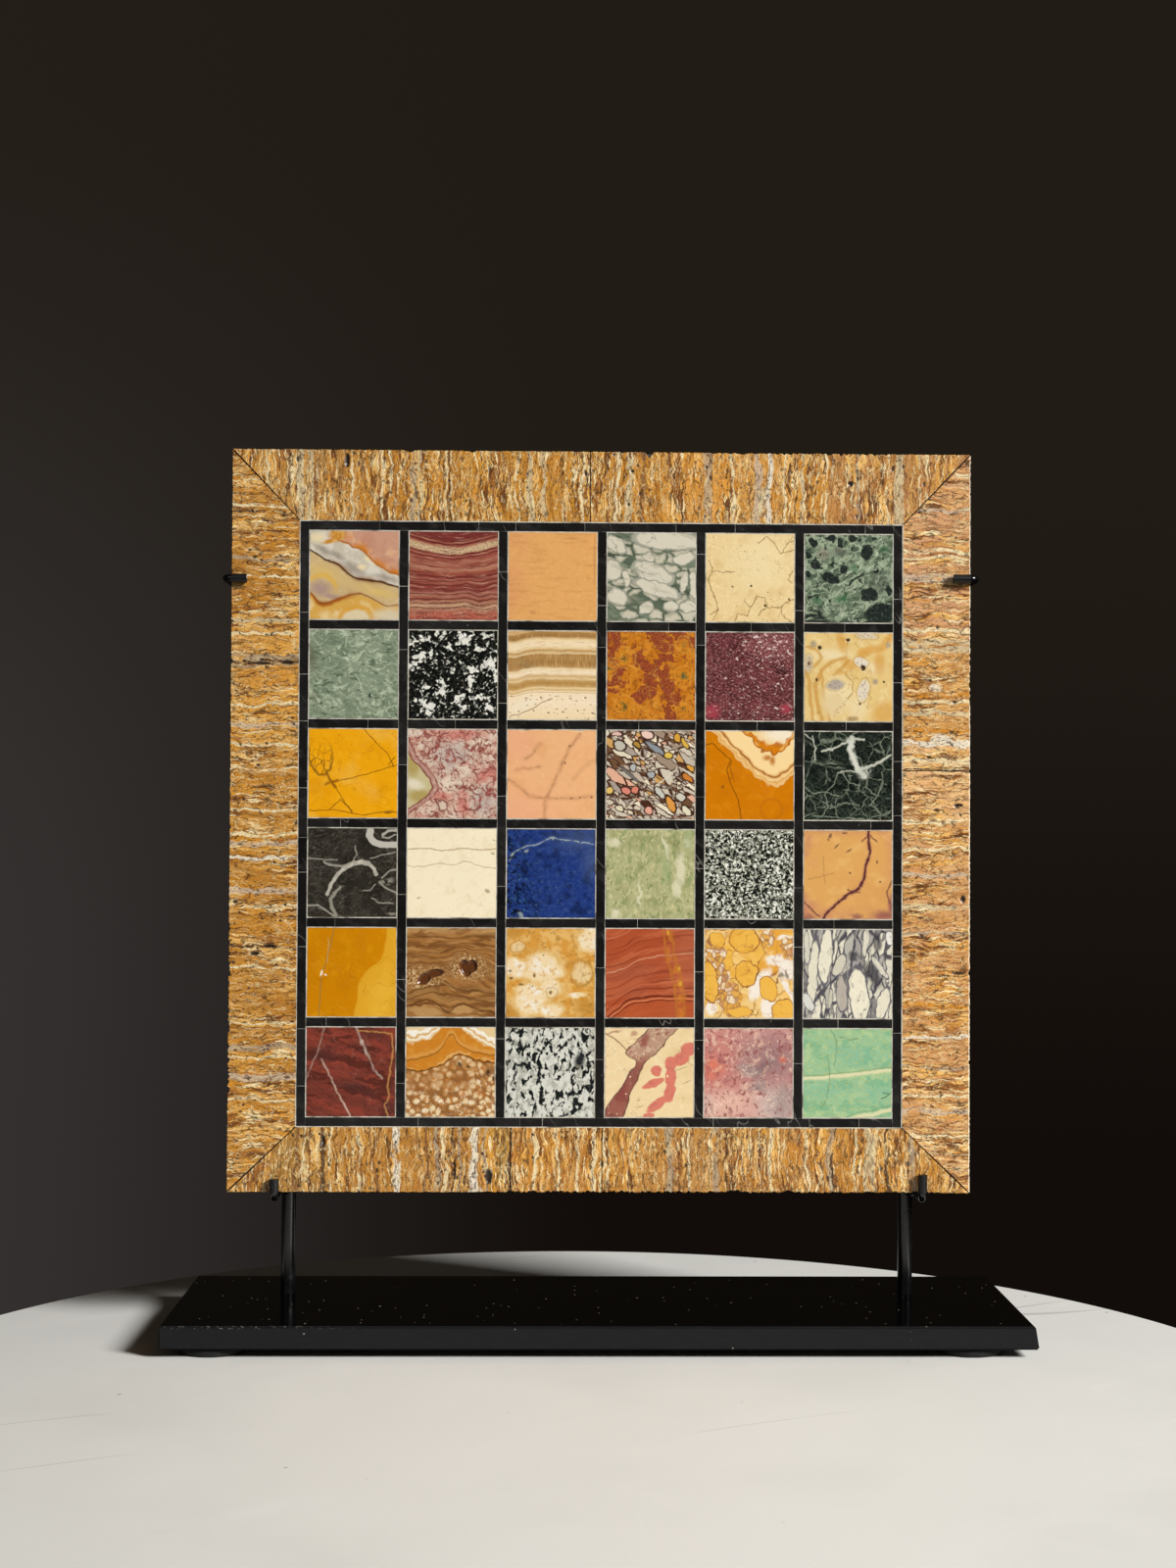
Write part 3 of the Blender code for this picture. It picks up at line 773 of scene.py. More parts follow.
@paints("20377a", .18)
def lapis_lazuli(s, at):
    s.clouds(at, "2c4583", .05, 2, 6, .46, .62, .9)
    s.clouds(at, "142450", .12, 5, 6, .48, .64, .8)
    s.lay("55678c", at.clouds(.022, 7, 3).rise(.58, .7) * at.clouds(.1, 8, 3).rise(.4, .6), .7)
    s.lay("54668a", at.blobs("85 12 30 12, 95 35 10 20", soft=.9), .4)
    w = at.warped(.02, .05, 3, 5)
    vein = w.stroke("3 35, 8 27, 20 20, 38 16, 50 9, 56 11, 100 17")
    s.draw("5068a4", vein, .004, .03, .5)
    s.lay("a9b2a4", vein.fall(0, .01) * at.clouds(.05, 6, 2).rise(.36, .5))
    s.lay("99a6a6", w.blobs("22 25 3 1.5 -30, 6 30 2 3 30, 16 96 2 5 -30, 52 10 1.2 2", soft=.5),
            .8)
    left = (at.x - at.y * .2).fall(-.15, .45)
    s.lay("070d22", at.clouds(.05, 3, 5).rise(.5, .6) * left)
    s.lay("3e6a88", at.clouds(.03, 8, 3).rise(.6, .68) * left, .9)
    s.specks(at, "b9a35a", .09, 9, .03, .06, .5, .55)


print(f"painters so far: {len(PAINTERS)}")

# %% [markdown]
# Granite, porphyry, diorite and gneiss are grained: crystals of a few kinds lie side by side.
# Noise cut at a height gives ragged grains. A second, softer noise moves the cut up and down,
# so the white grains gather in clusters as they do in the stone.

# %% Grained stones


@paints("0c0d0b", .2)
def black_white_granite(s, at):
    s.clouds(at, "363832", .025, 2, 3, .5, .66, .8)
    w = at.warped(.03, .04, 2, 4)
    cluster = w.blobs("18 8 6 5, 35 6 6 4, 63 10 9 9, 86 6 6 4, 5 14 6 6, 78 20 6 4, 13 28 6 7, "
            "25 30 2 7, 4 40 7 5, 92 38 9 8, 98 50 4 7, 73 44 6 4, 70 58 5 8, 38 60 5 8, "
            "37 70 7 5, 20 65 5 4, 16 80 6 6, 24 88 8 6, 57 77 6 6, 63 87 5 4, 80 76 9 4, "
            "90 86 6 5, 50 44 3 4, 45 20 3 4", soft=.9)
    grains = w.clouds(.045, 6, 4, twist=.5) + cluster * .24
    s.lay("7d7f76", grains.rise(.635, .66))
    s.lay("eceae0", grains.rise(.655, .69))
    s.clouds(w, "c9c9bd", .035, 12, 2, .62, .66, stretch=(1.3, .8), turn=-40)
    s.lay("b9baae", at.clouds(.04, 9, 3).rise(.5, .7) * grains.rise(.68, .74), .6)
    s.specks(at, "6a5236", .06, 5, .1, .26, .7, .74, .5)


@paints("51292b", .2)
def red_porphyry(s, at):
    s.clouds(at, "4a2022", .04, 2, 5, .48, .6)
    s.clouds(at, "6e3539", .12, 4, 4, .46, .62, .7)
    s.lay("b03a4c", at.warped(.04, .08, 3).blobs("7 90 8 8, 90 86 6 5", soft=.7), .8)
    s.lay("1a0a0c", at.warped(.05, .06, 3).blobs("87 43 7 4, 78 38 3 2, 10 33 3 3", soft=.7), .85)
    dense = at.away(.78, .12, (.35, .25)).fall(.3, 1.3) * .06
    for size, seed, colour, much in ((.022, 3, "a8706e", .8), (.03, 6, "c79a98", .75), (.018, 9,
            "8d5052", .9), (.035, 12, "e6cdc8", .9)):
        cut = .635 if seed in (6, 12) else .56
        grain = at.clouds(size, seed, 3, stretch=(1.2, .8), turn=20, twist=.4) + dense
        s.lay(colour, grain.rise(cut, cut + .05) * much)


@paints("30342a", .2)
def grey_diorite(s, at):
    w = at.warped(.015, .035, 2)
    grain = w.clouds(.038, 3, 2, twist=.8) + (at.clouds(.16, 4, 2) - .5) * .14
    s.lay("10130d", grain.fall(.43, .48))
    s.lay("646858", grain.rise(.49, .52))
    s.lay("aaad9c", grain.rise(.53, .57))
    s.clouds(w, "f0f0e4", .03, 8, 2, .55, .59, .95, twist=.6)
    s.clouds(w, "0d100a", .033, 11, 2, .57, .61, .95, twist=.6)


@paints("d8d8ce", .22)
def flecked_gneiss(s, at):
    s.clouds(at, "a5a598", .07, 2, 5, .46, .62, .8, stretch=(.8, 1.3))
    s.clouds(at, "dddbcc", .05, 5, 4, .54, .66, .8)
    w = at.warped(.03, .05, 2, 4)
    bed = at.warped(.05, .3, 6).clouds(.12, 7, 2, stretch=(1, 4.5))
    flecks = w.clouds(.062, 3, 3, stretch=(.8, 1.5), turn=6, twist=.4) + (bed - .5) * .4
    s.lay("6b6e66", flecks.rise(.53, .555))
    s.lay("16191a", flecks.rise(.555, .585))
    s.lay("23262a", w.blobs("83 37 5 9 15, 10 55 1.2 10 20", soft=.6))
    s.clouds(w, "4a4d48", .022, 6, 2, .64, .68, .9)
    s.lay("8a7a58", at.spots(.2, 8).fall(.05, .12), .6)


print(f"painters so far: {len(PAINTERS)}")

# %% [markdown]
# A breccia is a stone that broke and was cemented again. Where its lumps are many and alike,
# they are Voronoi cells, warped so that they aren't polygons, stretched the way the bed was
# pressed, and coloured by their random number. The largest lumps are laid in one by one.

# %% Breccias


def clasts(s, w, size, seed, stops, gap, matrix, stretch=(1, 1), turn=0, soft=0.04):
    """Lumps in colours picked from stops, with matrix between them."""
    s.lay(s.ramp(w.kinds(size, seed, stretch, turn), stops, mode="CONSTANT"), 1)
    edge = w.lumps(size, seed, stretch, turn)
    s.lay(matrix, edge.fall(gap, gap + soft))
    return edge


def lumps(s, w, rim, shapes, soft=0.06, colour=None, halo=None):
    """Rounded lumps with a darker rim. A shape may end in a colour of its own."""
    for x, y, wide, tall, turn, *own in marks(shapes):
        reach = w.away(x, y, (wide, tall), turn)
        if halo:
            s.draw(halo, reach - 1, 0.02, 0.12)
        s.lay(rim, reach.fall(1, 1 + 2 * soft))
        s.lay(own[0] if own else colour, reach.fall(1 - 3 * soft, 1 - soft))


@paints("5b6755", .22)
def green_breccia(s, at):
    s.clouds(at, "78846f", .12, 2, 5, .48, .62, stretch=(2, .6), turn=18)
    s.clouds(at, "4a5343", .15, 6, 4, .52, .62, stretch=(2.4, .5), turn=20)
    w = at.warped(.045, .1, 3, 3)
    small = w.lumps(.13, 4, (1.3, .8), 10)
    keep = w.kinds(.13, 4, (1.3, .8), 10).rise(.28, .3)
    s.lay("a9a793", small.rise(.05, .12) * keep)
    s.lay("cdc6b1", small.rise(.12, .24) * keep)
    lumps(s, w, "a5a594", "10 13 14 7 35, 70 8 42 11 3, 47 28 7 5 25, "
            "87 29 13 6 -12, 52 46 25 11 22, 56 63 28 8 18, 6 42 11 12 0, 22 52 4.5 10 -8, "
            "11 72 12 10 35, 87 55 4 12 12, 98 58 5 16 0, 44 85 9 6 -35, 73 83 8 6 10, "
            "92 83 10 6 -5",
            colour="d8d1bd", halo="4c5647")
    s.clouds(w, "a8a48f", .12, 9, 4, .52, .7, .5, stretch=(2, .7), turn=15)
    s.lay("566150", w.threads(.35, .008, 2, 3, stretch=(2, .8), turn=20), .5)


@paints("6a7862", .2)
def verde_antico(s, at):
    w = at.warped(.05, .09, 2, 5)
    s.clouds(w, "4c5c4a", .1, 6, 4, .46, .58)
    s.clouds(w, "97a68b", .07, 3, 5, .5, .6, .9, twist=.5)
    s.lay("b4c0a4", w.threads(.12, .04, 5, 5, turn=-35, stretch=(1.6, .7)), .8)
    s.lay("3e6b48", w.blobs("55 38 5 4, 42 73 8 5, 15 75 5 3, 90 17 5 4", soft=.6), .7)
    s.lay("8f8878", w.blobs("20 22 7 6, 38 18 4 3", soft=.5), .6)
    s.lay("4a5248", w.blobs("40 20 10 5, 85 55 12 10", soft=.8), .7)
    dark = w.blobs("9 9 5 4.5, 30 4 7 3, 40 10 3.5 4.5, 54 5 5 4, 70 20 7 9 15, 13 35 6 5.5 -20, "
            "5 24 3.5 3, 4 45 4 3, 30 50 10 6 12, 44 40 5.5 5 -10, 60 49 9 1.8 -28, 80 42 3 3, "
            "73 68 10 8, 95 63 4 6, 88 88 20 10", soft=.12)
    s.lay("222925", dark)
    s.clouds(w, "1b211d", .055, 8, 3, .6, .65, .9)
    s.lay("232b27", w.drop("0 85, 15 80, 35 95, 60 88, 100 80").rise(0, .1) * at.clouds(.06, 4, 4,
            stretch=(3, .6)).rise(.4, .52))
    s.lay("4d5a50", dark * w.clouds(.03, 9, 3).rise(.54, .66), .7)
    s.lay("c0c8b0", w.threads(.13, .02, 9, 4) * at.clouds(.2, 7).rise(.5, .6) * dark.fall(.2, .6),
            .6)


@paints("44291c", .22)
def polychrome_breccia(s, at):
    w = at.warped(.025, .07, 3, 2)
    colours = ("0 d3c8b4, 16 a08c78, 28 c4b9a8, 40 ab9e92, 50 e6dac0, 60 d3a462, 67 705038, "
            "74 c6b4a2, 86 e2b094, 94 eee2c8")
    clasts(s, w, .12, 4, colours, .04, "4a2c1e", (1.9, .62), 36, .05)
    mask = at.clouds(.16, 6, 1).rise(.5, .54)
    s.lay(s.ramp(w.kinds(.05, 7, (1.5, .7), 30), colours, mode="CONSTANT"), mask)
    s.lay("482a1c", w.lumps(.05, 7, (1.5, .7), 30).fall(.05, .14) * mask)
    lumps(s, w, "3f2519", "15 17 8 6 20 c4beae, 35 16 5 4 30 b08a3e, 55 20 16 3.5 35 8d949a, "
            "12 4 7 3 0 e2b9ae, 46 5 8 5 20 ecc9bc, 60 16 3 2 30 f0dcd0, 80 8 4 6 -20 d8a23e, "
            "88 14 3 8 -30 d9b04a, 70 28 5 4 10 e0bd55, 95 42 6 3 30 dda446, "
            "92 53 9 3.5 40 cd7f35, 22 68 7 5 30 dc8878, 33 67 5 5 -20 d8846f, 4 68 5 5 0 e2c06a, "
            "73 83 11 5 65 dd9a48, 60 70 10 4 50 c9c8bd, 84 75 6 5 20 cfcabb, 48 90 5 5 0 e3a690, "
            "90 90 8 4 50 e4dcc0, 15 88 6 4 30 dfd7b8, 30 42 4 5 0 b5b7b6, 50 50 5 4 0 a8adad, "
            "27 50 18 2 40 75706c", .1)
    s.draw("ddd3bf", w.stroke("80 42, 68 54, 55 62"), .003, .012, .9)
    s.draw("d3c6ac", w.stroke("33 77, 24 88"), .003, .012, .8)


@paints("e8b458", .22)
def yellow_breccia(s, at):
    w = at.warped(.05, .1, 3, 3)
    clasts(s, w, .26, 6, "0 eeb850, 30 f0c468, 50 e5a640, 72 eecb84", .004, "a56c38", (.9, 1.3),
            25, .025)
    s.clouds(w, "f4d088", .2, 3, 3, .48, .68, .7)
    white = w.blobs("62 62 8 20 30, 72 88 7 12, 93 45 10 12 -30, 80 35 10 6, 95 70 3 20 -30, "
            "8 88 7 7, 92 10 10 3, 25 52 4 8, 42 17 2 5", soft=.3)
    s.lay("f4eadb", white)
    s.lay("d3b096", white * w.clouds(.07, 4, 4).rise(.56, .66), .7)
    rubble = w.blobs("17 45 10 40 -6, 30 80 12 20, 72 10 8 10, 95 20 10 12, 8 30 8 20", soft=.5)
    bits = w.lumps(.055, 9, (.9, 1.2))
    s.lay(s.ramp(w.kinds(.055, 9, (.9, 1.2)), "0 e0ab55, 40 edd9b8, 65 cf9a68, 85 e0c2a2",
            mode="CONSTANT"), rubble.rise(.4, .6))
    s.lay("a26c44", bits.fall(.03, .14) * rubble.rise(.4, .6), .85)
    lumps(s, w, "a36a34", "27 35 5 12 0, 45 12 17 14 0, 47 50 13 14 20, 72 67 10 14 -10, "
            "6 60 9 25 -8, 40 93 15 6 0, 90 93 14 14 0, 15 12 10 7 30", .03, colour="edb74e")
    s.lay("e0a23a", w.clouds(.12, 8, 4).rise(.52, .66) * white.fall(.2, .5), .5)
    s.lay("3f3226", w.blobs("87 52 3 2, 93 50 2 4, 82 58 1.5 1, 60 50 1 4", soft=.6), .7)
    s.lay("b06a38", w.threads(.3, .012, 5, 3), .5)


@paints("8a867e", .22)
def black_white_breccia(s, at):
    w = at.warped(.035, .12, 2, 3)
    clasts(s, w, .12, 5, "0 dcd7c4, 30 b9b5aa, 50 e6e0cc, 68 85817e, 82 a5a19c", .03, "504d54",
            (.6, 2.4), 6, .07)
    s.clouds(w, "58555c", .12, 6, 5, .56, .62, .8, stretch=(.6, 2), turn=8)
    lumps(s, w, "66636a", "11 50 6 42 5 e2dcc6, 25 30 7.5 34 4 e9e3cd, 4 20 3 20 0 d6d1c0, "
            "41 40 6 14 25 d3ccb8, 43 72 6 22 -2 b5aca0, 63 75 12 34 -6 ece5ce, "
            "70 14 3.5 17 3 dfd8c4, 86 42 3.5 16 -35 d9d3c2, 90 83 7 20 12 e6dfc9, "
            "97 10 5 8 0 e9e6dc, 5 82 5 12 -30 d9d8d0, 30 78 2.5 12 5 c9c3b0", .05)
    s.lay("3f3c43", w.blobs("78 50 7 16 -28, 57 30 6 6, 83 15 5 10", soft=.4), .85)
    s.clouds(w, "c9c4b6", .08, 4, 4, .52, .68, .4, stretch=(.7, 1.5))
    fine = w.threads(.2, .012, 8, 3, stretch=(.5, 2.4), turn=6)
    s.lay("3a383e", fine * w.clouds(.15, 3, 2).rise(.46, .56), .8)


@paints("d2ae9a", .22)
def rose_breccia(s, at):
    w = at.warped(.05, .09, 3, 4)
    s.clouds(w, "e0cbb8", .1, 5, 3, .44, .58)
    s.lay("bdb0a8", w.blobs("50 30 20 15, 85 80 15 15, 45 62 10 10", soft=.9), .8)
    s.clouds(w, "c98d7c", .08, 9, 5, .55, .63, .8)
    s.lay("cf7a6e", w.blobs("55 6 25 6, 90 50 12 8, 62 85 6 15, 40 75 12 4", soft=.8), .8)
    s.lay("e8d5bf", w.blobs("47 62 10 10, 80 15 10 6, 62 45 8 5", soft=.6), .9)
    for size, seed, width in ((.15, 7, .045), (.12, 3, .03), (.22, 11, .025)):
        s.lay("8f433c", w.threads(size, width, seed, 2, twist=.8) * at.clouds(.14, seed,
                2).rise(.42, .52), .9)
    s.lay("84403a", (w.lumps(.17, 8, (1.2, .9), 20) - w.clouds(.04, 6, 2) * .06).fall(-.01, .03) *
            w.clouds(.12, 12, 2).rise(.47, .55), .9)
    stars = w.spots(.15, 8).rise(.02, .35) * .12 + w.clouds(.035, 4, 3) - .5
    s.lay("7d3a34", stars.fall(0, .045) * w.blobs("70 70 18 14, 75 33 25 10, 30 30 12 10, "
            "85 14 10 8, 15 10 10 6, 93 95 8 8", soft=.8), .9)
    at2 = at.warped(.02, .08, 5)
    patch = at2.beyond("0 -10, 20 -2, 33 5, 45 16, 60 26, 68 27, 80 15, 90 0, 100 -10")
    inside = patch.fall(-.012, 0)
    s.lay("b98d80", patch.fall(.05, .075) * w.clouds(.06, 4, 3).rise(.34, .48))
    s.lay("cabd8e", inside)
    s.lay("b09a58", inside * at2.blobs("5 40 8 12, 14 75 12 7", soft=.5), .9)
    s.lay("e6dcc2", inside * at2.blobs("8 62 10 5 20", soft=.7))
    s.draw("7c3a30", abs(patch), .003, .014, .9)
    s.draw("8f4a40", abs(patch - .07), .002, .016, .8)
    s.lay("d9c3ae", w.blobs("39 86 5 6 30", soft=.3))
    s.draw("7a3a32", abs(w.away(.39, .86, (.05, .06), 30) - 1), .1, .15, .8)


@paints("c38e88", .22)
def pink_violet_breccia(s, at):
    w = at.warped(.09, .18, 4, 4)
    s.lay("c97f74", w.blobs("15 40 30 40", soft=.9), .9)
    s.lay("9a7878", w.blobs("75 35 35 22", soft=.9), .9)
    s.lay("c2b0aa", w.blobs("80 85 22 18, 5 85 8 10", soft=.7), .9)
    s.lay("e2b5a4", w.blobs("30 85 30 16", soft=.8), .9)
    s.lay("7d686c", w.blobs("62 45 14 5 -20, 60 66 10 5", soft=.7), .7)
    s.lay("d9785f", w.blobs("87 33 4 5, 10 45 10 10", soft=.6), .8)
    s.clouds(w, "e0b7a2", .07, 6, 5, .54, .64, .7, twist=.5)
    s.clouds(w, "8c4a48", .06, 9, 5, .57, .65, .8, twist=.5)
    s.clouds(w, "98585c", .11, 3, 5, .56, .66, .5, stretch=(.7, 1.3))
    s.lay("a38f8a", w.blobs("63 62 9 8 30, 50 47 12 6, 90 80 14 16", soft=.6), .7)
    s.lay("efd3c0", w.threads(.12, .018, 6, 4) * at.clouds(.2, 3).rise(.48, .58), .8)
    s.specks(w, "7a3e3c", .05, 4, .12, .28, .62, .68, .8)
    s.specks(at, "efe0cf", .07, 7, .06, .15, .7, .75)


@paints("edd4a4", .24)
def cream_red_marble(s, at):
    s.mottle(at, "f4e0b8", "e0c28c", .07, 4, .6)
    w = at.warped(.025, .08, 3, 4)
    left = w.beyond("0 50, 15 36, 28 24, 38 35, 50 28, 65 20, 80 8, 100 -2")
    right = w.beyond("0 83, 10 72, 25 60, 40 44, 55 38, 70 30, 85 26, 100 20")
    band = left.rise(-.008, .004) * right.fall(-.004, .008)
    s.lay("9a5e50", band)
    s.lay("b9937c", band * w.y.fall(.25, .4) * w.clouds(.08, 5, 4).rise(.36, .46))
    s.lay("d8bb9c", band * w.y.fall(.3, .4) * w.threads(.1, .05, 8, 3, turn=-30), .8)
    s.lay("7c4540", band * w.y.rise(.35, .6) * w.clouds(.12, 9, 4).rise(.45, .6), .7)
    s.lay("8f4a42", band * w.blobs("45 13 4 10 20, 20 75 5 10 20", soft=.5), .8)
    s.lay("ecd8b6", band * at.spots(.05, 4).fall(.12, .25) * at.kinds(.05, 4).rise(.6, .66))
    s.draw("5f3a34", abs(left).least(abs(right)), .003, .01, .85)
    rose = w.blobs("94 24 9 8 -20, 86 34 10 7 -30, 74 40 7 8, 74 55 6 12, 73 72 6 12 12, "
            "60 85 16 5 -35, 55 62 13 4.5 -22, 58 48 6 6, 50 98 6 3", soft=.14)
    s.lay("d87c6a", rose)
    s.lay("c87064", rose * w.clouds(.06, 6, 4).rise(.52, .62), .7)
    s.lay("efdcae", w.blobs("66 51 1.8 3, 71 54 1.2 1.2", soft=.5))
    s.lay("a9705c", w.blobs("33 6 4 3, 10 5 9 1.2 -15", soft=.6), .7)
    s.draw("8a6248", w.stroke("0 6, 10 12, 22 22, 26 25"), .002, .012, .8)
    s.lay("8a6a48", w.blobs("85 46 8 .6 -20, 40 88 4 .6 -30, 92 60 5 .5 -20, 38 80 2 1", soft=.8),
            .6)
    s.lay("b08a68", w.threads(.2, .012, 7, 4) * at.clouds(.3, 5).rise(.48, .56), .6)


print(f"painters so far: {len(PAINTERS)}")

# %% [markdown]
# Banded stones grew layer on layer, so their colour depends on the depth below a wavy line. We
# take that depth as a Field, disturb it with noise that is stretched along the beds, and look
# its colour up in a ramp. Finer stripes come from noise stretched so far that it turns to lines.

# %% Banded stones


def beds(s, at, depth):
    """A place whose y is the depth in the beds."""
    return Place(s, s.node("ShaderNodeCombineXYZ", at.x, depth).outputs[0])


@paints(None, .2)
def red_banded_onyx(s, at):
    w = at.warped(.018, .1, 3, 3)
    sag = w.drop("0 0, 20 5.5, 50 10, 80 5, 100 -1")
    bump = w.blobs("62 68 9 30", soft=1) - w.blobs("80 70 9 30", soft=1)
    depth = w.y - (w.y - sag) * w.y.fall(.1, .9) + bump * .02
    bands = ("0 7a3330, 3 a4604e, 5.5 7c332f, 7.5 a05a4a, 9 b98a68, 11 ccb08a, 15.5 c6a37c, "
            "17.5 8d4a3c, 20 a8604f, 24 94483d, 29 ab6a56, 34 96503f, 38 b87f66, 42 99513f, "
            "48 8c4138, 53 a4604e, 60 8a4036, 66 9c564a, 70 b07662, 76 96503f, 81 b98a6c, "
            "85 c49a78, 90 a8624f, 94 b5604c, 100 a04a3c")
    s.ground(s.ramp(depth, bands))
    thin = beds(s, at, depth)
    s.clouds(thin, "c79a80", .02, 3, 3, .54, .64, .5, stretch=(10, 1))
    s.clouds(thin, "682a26", .024, 6, 2, .54, .6, .6, stretch=(12, 1))
    cream = depth.rise(.08, .1) * depth.fall(.155, .175)
    for at_depth in (.015, .05, .185, .225, .475, .53, .585, .64, .7, .76, .81, .86):
        s.draw("551e1c", abs(depth - at_depth), .003, .008, .75)
    s.lay("e2cda6", at.clouds(.016, 4, 2).rise(.5, .62) * cream, .7)
    s.lay("6e4a36", at.clouds(.018, 9, 2).rise(.58, .64) * cream, .7)
    s.lay("d8b596", at.clouds(.014, 12, 2).rise(.58, .68) * depth.rise(.75, .85), .6)


@paints(None, .24, deep="7a5630")
def banded_alabaster(s, at):
    w = at.warped(.012, .1, 3, 4)
    depth = w.drop("0 4.5, 10 4.5, 20 1.5, 32 0, 50 0, 80 .5, 100 1")
    bands = ("0 c9a878, 1.5 93703e, 6 7d5a30, 8.5 d9c08e, 10 efdfba, 16 f3e7c8, 20 e2cd9e, "
            "21.5 a5824e, 25 e0cda0, 26.5 8d6b3c, 30 967444, 36 7f5e33, 40 9c7c4c, 42.5 efe0ba, "
            "47 f5ead0, 52 c9ad78, 53 eadbb2, 55.5 b3935c, 59 9c7a46, 62 b8975c, 64 e9d9ae, "
            "66 c9ac74, 68 f3e8ca, 80 f5ebd2, 97 efe0bc")
    s.ground(s.ramp(depth, bands))
    thin = beds(s, at, depth)
    s.lay("8a6437", thin.clouds(.01, 3, 3, stretch=(14, 1)).rise(.56, .66) * depth.fall(.64, .7),
            .5)
    s.lay("b89a68", abs(depth - .69).least(abs(depth - .5)).fall(.002, .008), .7)
    brown = depth.rise(.25, .27) * depth.fall(.4, .43)
    s.lay("c9aa74", at.clouds(.02, 8, 3, stretch=(.7, 9)).rise(.53, .64) * brown, .7)
    s.lay("6b4a26", at.clouds(.02, 2, 3, stretch=(.7, 9)).rise(.55, .66) * brown, .6)
    s.clouds(at, "d9c094", .02, 5, 3, .55, .7, .3, stretch=(1, 4))
    rows = (depth * (1 / .05)).math("FRACT")
    pits = at.spots(.036, 4, (1.4, .8)).fall(.18, .4) * at.kinds(.036, 4, (1.4, .8)).rise(.25, .3)
    s.clouds(at, "ffbe6c", .3, 6, 3, .2, .5, .2)
    s.lay("9c8254", pits * abs(rows - .5).fall(.1, .3) * depth.rise(.7, .74), .8)
    s.draw("8d6a3e", at.warped(.01, .05, 2).stroke("3 96, 13 94, 30 87, 40 80, 50 76"), .001, .009,
            .8)


@paints("a06e3a", .22, deep="5c3417")
def brown_onyx(s, at):
    w = at.warped(.06, .18, 3, 3)
    ring = w.away(.2, .55, (.3, .16)).least(w.away(.7, .43, (.22, .17)))
    depth = w.y.most(0) + ring.fall(.3, 1.9) * .14
    thin = beds(s, at, depth)
    s.clouds(thin, "7c5028", .05, 4, 4, .46, .58, .9, stretch=(6, 1))
    s.clouds(thin, "b98a52", .035, 7, 3, .52, .64, .8, stretch=(7, 1))
    s.lay("6a4320", depth.waves(.085).rise(.75, .98), .6)
    s.lay("a87c48", w.y.rise(.62, .7) * depth.waves(.11).rise(.5, .9), .6)
    s.lay("c59a62", at.y.fall(.03, .1) * w.clouds(.08, 2, 3, stretch=(3, 1)).rise(.4, .55), .7)
    crust = w.blobs("15 55 22 9 -8, 70 45 22 13 6", soft=.5)
    rim = ring.fall(.55, 1).most(crust)
    s.lay("a57c4a", rim, .5)
    crystals = at.clouds(.022, 5, 3, twist=.6)
    s.lay("e0c292", rim * crystals.rise(.53, .61), .9)
    s.lay("6b4420", rim * crystals.fall(.38, .44), .8)
    caves = w.blobs("20 57 7 3.5 -35, 31 51 10 3.5 -12, 67 43 4 5 -10, 73 44 5.5 5 15", soft=.25)
    s.lay("74431d", caves)
    s.lay("46260f", w.blobs("22 56 4 2 -30, 68 45 3 2.5", soft=.6))
    for line in ("0 73, 30 66, 60 68, 100 74", "0 80, 30 74, 70 78, 100 84"):
        s.draw("5a3719", abs(w.drop(line)), .002, .014, .7)
    lens = w.blobs("22 95 18 5 8, 62 92 13 4 -4", soft=.25)
    s.lay("b98e58", lens)
    s.draw("4f3016", abs(w.drop("0 88, 30 84, 45 93, 60 86, 80 90, 100 97")), .003, .012, .8)


@paints("ae5130", .2)
def red_jasper(s, at):
    w = at.warped(.03, .18, 3, 3)
    depth = w.drop("0 50, 20 45, 35 36, 60 31, 100 27")
    thin = beds(s, at, depth)
    s.clouds(thin, "c06540", .09, 4, 2, .48, .62, .8, stretch=(7, 1))
    s.clouds(thin, "8c3a22", .045, 9, 2, .54, .62, .7, stretch=(10, 1))
    s.lay("a5573f", w.blobs("30 50 30 10 -10, 30 70 20 6 -10", soft=.9), .6)
    s.lay("b9795c", abs(w.beyond("0 95, 50 90, 100 80")).fall(0, .3), .25)
    s.draw("d99e7c", abs(depth), .002, .012, .6)
    for shift, tone in ((-.38, "d0795c"), (-.2, "8f3a22"), (.18, "95402a"), (.3, "c9714c")):
        s.draw(tone, abs(depth - shift), .002, .014, .6)
    low = w.drop("0 102, 15 90, 30 80, 45 77, 70 75, 100 76")
    s.lay("b5562e", low.rise(0, .03), .7)
    s.draw("5f1f12", abs(low), .004, .014, .85)
    s.draw("d9845a", abs(low - .03), .003, .012, .7)
    s.draw("6b2415", abs(low - .05), .003, .012, .7)
    s.draw("7a2d1a", abs(low + .09), .002, .01, .8)
    seam = at.warped(.03, .08, 6, 4).beyond("0 70, 30 74, 60 82, 100 86")
    s.lay("cc7d30", abs(seam).fall(0, .09) * w.clouds(.1, 5, 4).rise(.42, .6), .8)
    s.draw("b9702c", abs(seam + .05).least(abs(seam - .04)), .002, .014, .8)
    s.lay("d9a03c", w.blobs("70 5 1.5 3, 83 45 1.5 2, 84 62 2 3", soft=.6), .9)


print(f"painters so far: {len(PAINTERS)}")
